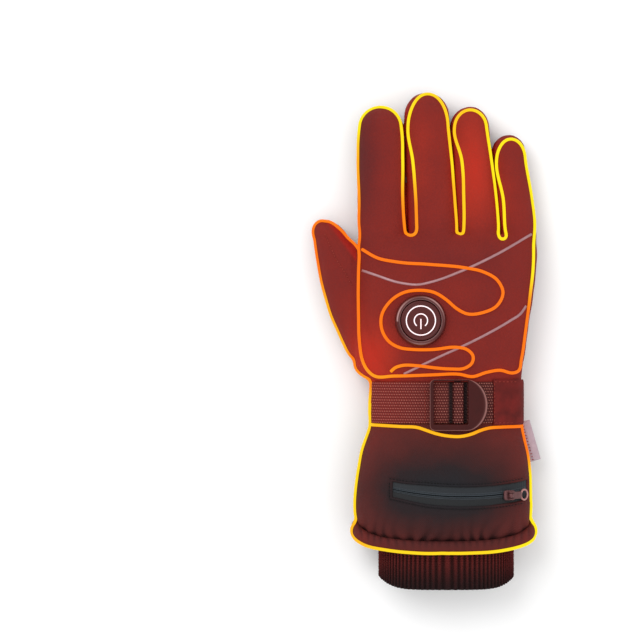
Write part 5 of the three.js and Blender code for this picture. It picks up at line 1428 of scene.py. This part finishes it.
bright_zinc.set(Base_Color=bright_zinc.mix(bright_zinc.noise(1.5), "#9a6663", "#c4908a"))
bright_zinc.relief(bright_zinc.noise(0.5), 0.03)
belongs(round_wire("pull_ring", ring_path, 0.62 * MM, bright_zinc, True, 12), "zip_metal", body="zip_tab")

# Side label
# A folded satin ribbon without print, sewn into the side seam below the strap.
ribbon = Finish("label_satin", Roughness=0.6, Sheen_Weight=0.3)
ribbon_weave = (ribbon.place(0) * 9).sine() * (ribbon.place(1) * 9).sine()
ribbon.set(Base_Color=ribbon.mix(ribbon.noise(3), "#ab949f", "#c8b3bd"))
ribbon.relief(ribbon_weave + ribbon.noise(0.7), 0.1)
label_root = on_cuff(np.array([0.16]), np.array([0.0]))[0]
lean = np.radians(16)
label_down = np.array([np.sin(lean), -np.cos(lean), 0]) * 25 * MM
label_out = np.array([np.cos(lean), np.sin(lean), 0]) * 5.4 * MM
u, v = np.meshgrid(np.linspace(0, 1, 40), np.linspace(-0.25, 1, 18), indexing="ij")
ripple = 0.5 * MM * np.sin(3 * u + 1) * v
sheet = label_root + u[..., None] * label_down + v[..., None] * label_out
sheet[..., 2] = NECK[3] + ripple
under = sheet - (0, 0, 0.75 * MM)
grid = np.concatenate([sheet, under[:, ::-1]], axis=1)
points, faces = tube_parts(grid)
label = outward(mesh_piece("side_ribbon", points, faces, ribbon))
belongs(label, "label_cloth", "side_label")

# Heating wires
# Carbon-fibre wires under the shell, drawn as lines with a painted glow of their own. Each is a round wire, half sunk
# in the cloth.
# The first runs round the hand and along every finger.
WIRE_RADIUS = 0.95 * MM
WIRE_STAND = 1.8 * MM
# Painted glow: the wires emit light, orange to yellow.
glow = Finish("glowing_wire", Roughness=0.5, Emission_Strength=1.0, Specular_IOR_Level=0.1)
warmth = glow.mark("warmth") + (glow.noise(9) - 0.5) * 0.08
glow_stops = [(0.0, "#ff760c"), (0.35, "#ff9a12"), (0.65, "#ffbc18"), (1.0, "#ffe616")]
glow.set(Base_Color=glow.ramp(warmth, [(0.0, "#401a04"), (1.0, "#4a4004")]))
glow.set(Emission_Color=glow.ramp(warmth, glow_stops))


def warm(points):
    """Tint of the painted glow, from orange, 0, to yellow, 1: yellow at the fingertips, down the right side and at the
    cuff's edges.
    """
    x, y, _ = np.moveaxis(points, -1, 0) / MM
    tips = step(y, 66, 112) * (1 - 0.3 * hill(x, 30, 34) * step(y, 100, 125))
    tips = tips * (1 - 0.5 * hill(x, -42, 6) * (1 - step(y, 108, 132))) + 0.35 * step(x, 20, 50) * step(y, 60, 75)
    forks = step(y, 50, 60) * (0.1 + 0.85 * step(x, -24, 46)) * (1 - step(-x, 30, 38))
    right = step(x, 48, 58) * step(y, 14, 42)
    corner = 0.35 * hill(x, -30, 14) * hill(y, -20, 9)
    thumb = 0.5 * step(-x, 44, 50) * (1 - step(y, 20, 46))
    hem_left = 1 - 0.5 * hill(x, -46, 14) * hill(y, -119, 9)
    cuff = step(-y, 66, 86) * (0.85 + 0.15 * step(x, 30, 60)) * hem_left
    left_neck = 0.85 * step(-y, 22, 40) * (1 - step(x, -38, -20)) * hem_left
    under_strap = 0.6 * step(-y, 46, 50) * (1 - step(x, 20, 52))
    return np.clip(np.maximum.reduce([tips, forks, right, corner, thumb, cuff, left_neck, under_strap]), 0, 1)


def glowing(name, path, node, closed=False):
    """A wire along a path: the path is laid on the skin, and evened out by moving means of three points."""
    path = laid(path, 0.55 * WIRE_RADIUS)
    for _ in range(7):
        if closed:
            path = path / 2 + (np.roll(path, 1, axis=0) + np.roll(path, -1, axis=0)) / 4
        else:
            path[1:-1] = path[1:-1] / 2 + (path[:-2] + path[2:]) / 4
    wire = round_wire(name, path, WIRE_RADIUS, glow, closed)
    marked(wire, warmth=warm(points_of(wire.data)))
    belongs(wire, "heating_wire", node)
    return wire


def over_hand(plan):
    """Plan points carried down to the glove's skin. A point that passes beside it is left at the seam's height."""
    high = np.concatenate([plan, np.full((len(plan), 1), 80 * MM)], axis=-1)
    places = laid(high, 0.3 * MM, "down")
    places[..., 2] = np.where(places[..., 2] > 60 * MM, SEAM_Z + 4 * MM, places[..., 2])
    return places


def finger_side(index, shares):
    """Plan points up a finger, each at a share of its half width from its middle line."""
    y = CROTCH_Y + np.array([0.09, 0.32, 0.7, 1.0])[: len(shares)] * SPAN_AT
    left, right = finger_edges(index, y)
    return np.stack([(left + right) / 2 + np.array(shares) * (right - left) / 2, y], axis=-1)


def half_oval(start, end, peak, count):
    """Plan points of half an ellipse from start to end, through a place at height peak between them."""
    a = np.linspace(np.pi, 0, count + 2)[1:-1]
    base = start[1] + (end[1] - start[1]) * (1 + np.cos(a)) / 2
    x = (start[0] + end[0]) / 2 - np.cos(a) * (start[0] - end[0]) / 2
    return np.stack([x, base + (peak - base) * np.sin(a)], axis=-1)


# Shares of the half width up the left and the right of each finger, then the height of the tip.
FINGER_WIRES = [
    ((-0.943, -0.943, -0.985, -0.93), (0.87, 0.83, 0.867, 0.84), 141.5),
    ((-0.633, -0.633, -0.708, -0.86), (0.953, 0.95, 0.937, 0.88), 149.5),
    ((-0.7, -0.625, -0.575, -0.8), (0.913, 0.945, 0.89, 0.8), 139.7),
    ((-0.736, -0.665, -0.8), (0.903, 0.96, 0.88), 122),
]
FORKS = [((-13.5, -5.6), 62.5), ((18.2, 23.1), 63.1), ((43.8, 48.7), 60.2)]
LEFT_EDGE = [
    (-31.7, -22.1), (-35.7, -18.8), (-38.9, -12.2), (-40.3, -4.4), (-41.2, 14), (-41.4, 32.4), (-40.6, 55), (-39.9, 64),
]
RIGHT_EDGE = [(65.3, 60), (64.4, 41.6), (62.5, 25.8), (60.0, 6.1), (57.4, -12.2), (55.6, -19.6)]
BOTTOM_EDGE = [(52, -20.6), (45, -18.8), (35.8, -20.1), (27.3, -22.7), (20.1, -21.2), (4.3, -21.5), (-19.3, -22.3)]
loop = [np.array(LEFT_EDGE) * MM]
for i, (left_shares, right_shares, tip_at) in enumerate(FINGER_WIRES):
    up, down = finger_side(i, left_shares), finger_side(i, right_shares)[::-1]
    loop += [up, half_oval(up[-1], down[0], tip_at * MM, 9), down]
    if i < 3:
        (x0, x1), low = FORKS[i]
        a = np.linspace(np.pi, 2 * np.pi, 9)
        radius = (x1 - x0) / 2
        loop.append(np.stack([(x0 + x1) / 2 + radius * np.cos(a), low + radius + radius * np.sin(a)], axis=-1) * MM)
loop += [np.array(RIGHT_EDGE) * MM, np.array(BOTTOM_EDGE) * MM]
glowing("wire_hand", over_hand(even_line(np.vstack(loop), 1400, True)), "heating_wire_hand", True)

BACK_COIL = [
    (-38.6, 54.6), (-30.4, 49.4), (-19.3, 46.8), (1.7, 45.1), (22.7, 43.1), (33.2, 40.9), (43.0, 35.0), (45.9, 28.4),
    (42.4, 20.5), (33.2, 16.0), (24.0, 15.3), (18.1, 18.2), (11.5, 23.8), (4.3, 28.2), (-4.8, 29.5), (-13.4, 28.4),
    (-21.9, 23.1), (-27.2, 14.7), (-27.2, 6.1), (-23.2, -1.1), (-16.7, -5.0), (-8.8, -6.1), (4.3, -6.1), (17.4, -4.8),
    (24.0, -6.1), (27.9, -10.3), (27.3, -14.2), (22.7, -17.5), (14.8, -17.9), (4.3, -17.2), (-6.2, -15.9),
    (-15.3, -15.9), (-19.3, -17.3), (-21.6, -19.6),
]
glowing("wire_back", over_hand(plan_line(BACK_COIL, 520)), "heating_wire_back")

NECK_RISE, CUFF_RISE = np.radians(7), np.radians(7)
SIDE_SHARES = np.array([0.06, 0.21, 0.25, 0.3, 0.42, 0.58, 0.76, 0.92])
thumb_end = thumb_sections(along_hand([THUMB_TABLE[-1, 0]]), WIRE_STAND)[0]
t = np.linspace(0, 1, 14)[1:-1]
THUMB_LINE, WEB_LINE = np.radians(170), np.radians(30)
rise = (np.pi - THUMB_LINE) * t + WEB_LINE * (1 - t)
dx, dy, dz = np.cos(np.pi * t) * np.cos(rise), np.sin(np.pi * t) * np.cos(rise), np.sin(rise)
thumb_over = on_section(rounded_end(thumb_end, THUMB_TIP + WIRE_STAND, THUMB_DRIFT, np.arcsin(dy)), np.arctan2(dz, dx))


def thumb_line(shares, angle):
    return on_section(thumb_sections(along_hand(shares), WIRE_STAND), np.full(len(shares), angle))


def hem_line(angle, out, down):
    point = on_cuff(np.ones(len(angle)), angle, out * HEM_BULGE + WIRE_STAND)
    point[:, 1] -= down * HEM_HEIGHT
    return point


neck_shares = np.array([0.115, 0.03])
cuff_rise = np.full(len(SIDE_SHARES), CUFF_RISE)
inner_thumb = np.array([(-40.9, 54.6), (-45.2, 58.9), (-49.6, 63.4), (-53.8, 67.8)]) * MM
edge_path = np.vstack([
    over_hand(inner_thumb),
    thumb_over[6:],
    thumb_line(np.array([0.975, 0.915, 0.8, 0.64, 0.5, 0.37, 0.27]), THUMB_LINE),
    on_section(hand_sections(along_hand(neck_shares), WIRE_STAND), np.full(2, np.pi - NECK_RISE)),
    on_cuff(SIDE_SHARES, np.pi - cuff_rise, WIRE_STAND),
    hem_line(np.array([np.pi - CUFF_RISE]), 0.6, 0),
    hem_line(np.linspace(np.pi - CUFF_RISE, CUFF_RISE, 25), 0.8, 0.9),
    hem_line(np.array([CUFF_RISE]), 0.6, 0),
    on_cuff(SIDE_SHARES, cuff_rise, WIRE_STAND)[::-1],
    on_section(hand_sections(along_hand(neck_shares[::-1]), WIRE_STAND), np.full(2, NECK_RISE)),
])
glowing("wire_edge", even_line(edge_path, 900), "heating_wire_edge")

WRIST_LINE = [
    (-35.6, -52.2), (-28.1, -52.4), (-15.9, -53.0), (-5.0, -53.7), (-0.7, -55.2), (5.4, -57.3), (12.7, -58.7),
    (20.7, -58.9), (26.8, -57.6), (32.9, -55.2), (37.7, -53.9), (45.1, -53.4), (57.0, -53.2),
]
glowing("wire_wrist", over_hand(plan_line(WRIST_LINE, 300)), "heating_wire_wrist")

# Seams
# Polyester thread in lock stitches. Each row is a line in plan, cut into short threads and laid on its piece.
def thread(name, low, high):
    made = Finish(name, Roughness=0.7, Specular_IOR_Level=0.2)
    made.set(Base_Color=made.mix(made.noise(2), low, high))
    made.relief((made.place(0) * 9).sine() * (made.place(1) * 9).sine(), 0.2)
    return made


def stitched(name, plan, finish, slot, height=None, pitch=2.4, share=0.62, radius=0.24):
    """Threads along a line in plan given in millimetres, on top of the glove or at a height of their own."""
    line = even_line(np.array(plan) * MM, 600, False, 1)
    run = np.r_[0, np.cumsum(np.linalg.norm(np.diff(line, axis=0), axis=1))]
    at = np.arange(0, run[-1] - pitch * MM, pitch * MM)
    ends = [np.stack([np.interp(at + move, run, line[:, k]) for k in (0, 1)], -1) for move in (0, share * pitch * MM)]
    if height is None:
        places = [over_hand(spot) for spot in ends]
    else:
        places = [np.column_stack([spot, height(*spot.T)]) for spot in ends]
    row = spindles(name, *places, radius * MM, finish)
    return belongs(row, slot)


red_thread = thread("thread_red", "#8a2a22", "#b0483c")
dark_thread = thread("thread_dark", "#0e0f11", "#1c1a1c")
grey_thread = thread("thread_grey", "#3c3e42", "#56585c")
patch_low, patch_high = STRAP_Y - 12.4 * MM, STRAP_Y + 12.4 * MM
patch_x0, patch_x1 = PATCH_LEFT + 1.4 * MM, 54.5 * MM
patch_box = np.array([(patch_x1, patch_high), (patch_x0, patch_high), (patch_x0, patch_low), (patch_x1, patch_low)]) / MM
stitched("stitches_patch", patch_box, red_thread, "palm_leather", lambda x, y: neck_top(x, GAP + 2.2 * MM))
strap_row = np.array([(-1.2, -49.5), (-1.2, -27.2)])
stitched("stitches_strap", strap_row, red_thread, "webbing", lambda x, y: neck_top(x, GAP + 1.6 * MM), 1.6)
zip_row_x = np.linspace(ZIP_START - 1.6 * MM, ZIP_START + ZIP_LENGTH - 1 * MM, 60)
for side in (-1, 1):
    zip_row_y = zip_middle(zip_row_x) + side * (zip_half(zip_row_x) + 1.5 * MM)
    row_name = "stitches_zip_upper" if side > 0 else "stitches_zip_lower"
    stitched(row_name, np.stack([zip_row_x, zip_row_y], -1) / MM, dark_thread, "gauntlet_nylon", None, 1.9)
zip_end_y = zip_middle(ZIP_START) / MM
stitched(
    "stitches_zip_end", [(ZIP_START / MM - 1.6, zip_end_y - 5), (ZIP_START / MM - 1.6, zip_end_y + 5)], dark_thread,
    "gauntlet_nylon", None, 1.9,
)
stitched("stitches_thumb", [(-61.7, 64.1), (-55.0, 48.8), (-49.5, 40.3), (-44.6, 31.1)], red_thread, "softshell", None, 1.8)


def palm_height(x, y):
    return np.maximum(under_palm(x, y, 0.45 * MM)[..., 2], 0.24 * MM)


for row_name, left, right, top, v in (
    ("web_inner", WEB_LEFT, WEB_RIGHT, [(0.0, 0.77), (1.0, 0.77)], 0.88),
    ("web_outer", WEB_LEFT, WEB_RIGHT, [(0.0, 0.77), (1.0, 0.77)], 0.12),
    ("web_second", WEB_LEFT, WEB_RIGHT, [(0.0, 0.77), (1.0, 0.77)], -0.25),
    ("grip_right", GRIP_LEFT, GRIP_RIGHT, GRIP_TOP, 0.98),
):
    t = np.linspace(0.02, 0.96, 60)
    seam_x, seam_y = shares_between(left, right, top, t, v)
    stitched(f"stitches_{row_name}", np.stack([seam_x, seam_y], -1) / MM, grey_thread, "palm_leather", palm_height)
top_x, top_y = shares_between(GRIP_LEFT, GRIP_RIGHT, GRIP_TOP, 0.985, np.linspace(0.02, 0.98, 60))
stitched("stitches_grip_top", np.stack([top_x, top_y], -1) / MM, grey_thread, "palm_leather", palm_height)

for i, tip_at in enumerate(CROTCH_Y + FINGER_LENGTHS - 4.5 * MM):
    up, down = finger_side(i, (-0.74,) * 3), finger_side(i, (0.74,) * 3)[::-1]
    row = np.vstack([up, half_oval(up[-1], down[0], tip_at, 9), down]) / MM
    stitched(f"stitches_finger_{i + 1}", row, dark_thread, "palm_leather", palm_height, 1.7, 0.8)

label_at = np.linspace(0.04, 0.96, 13)[:, None]
label_from = label_root + label_at * label_down + label_out * 0.02 + (0, 0, 0.5 * MM)
label_row = spindles("stitches_label", label_from, label_from + label_out * 0.2, 0.22 * MM, thread("thread_bright", "#a01414", "#c02a20"))
belongs(label_row, "label_cloth")

bpy.data.objects.remove(form)
bpy.data.objects.remove(skin)
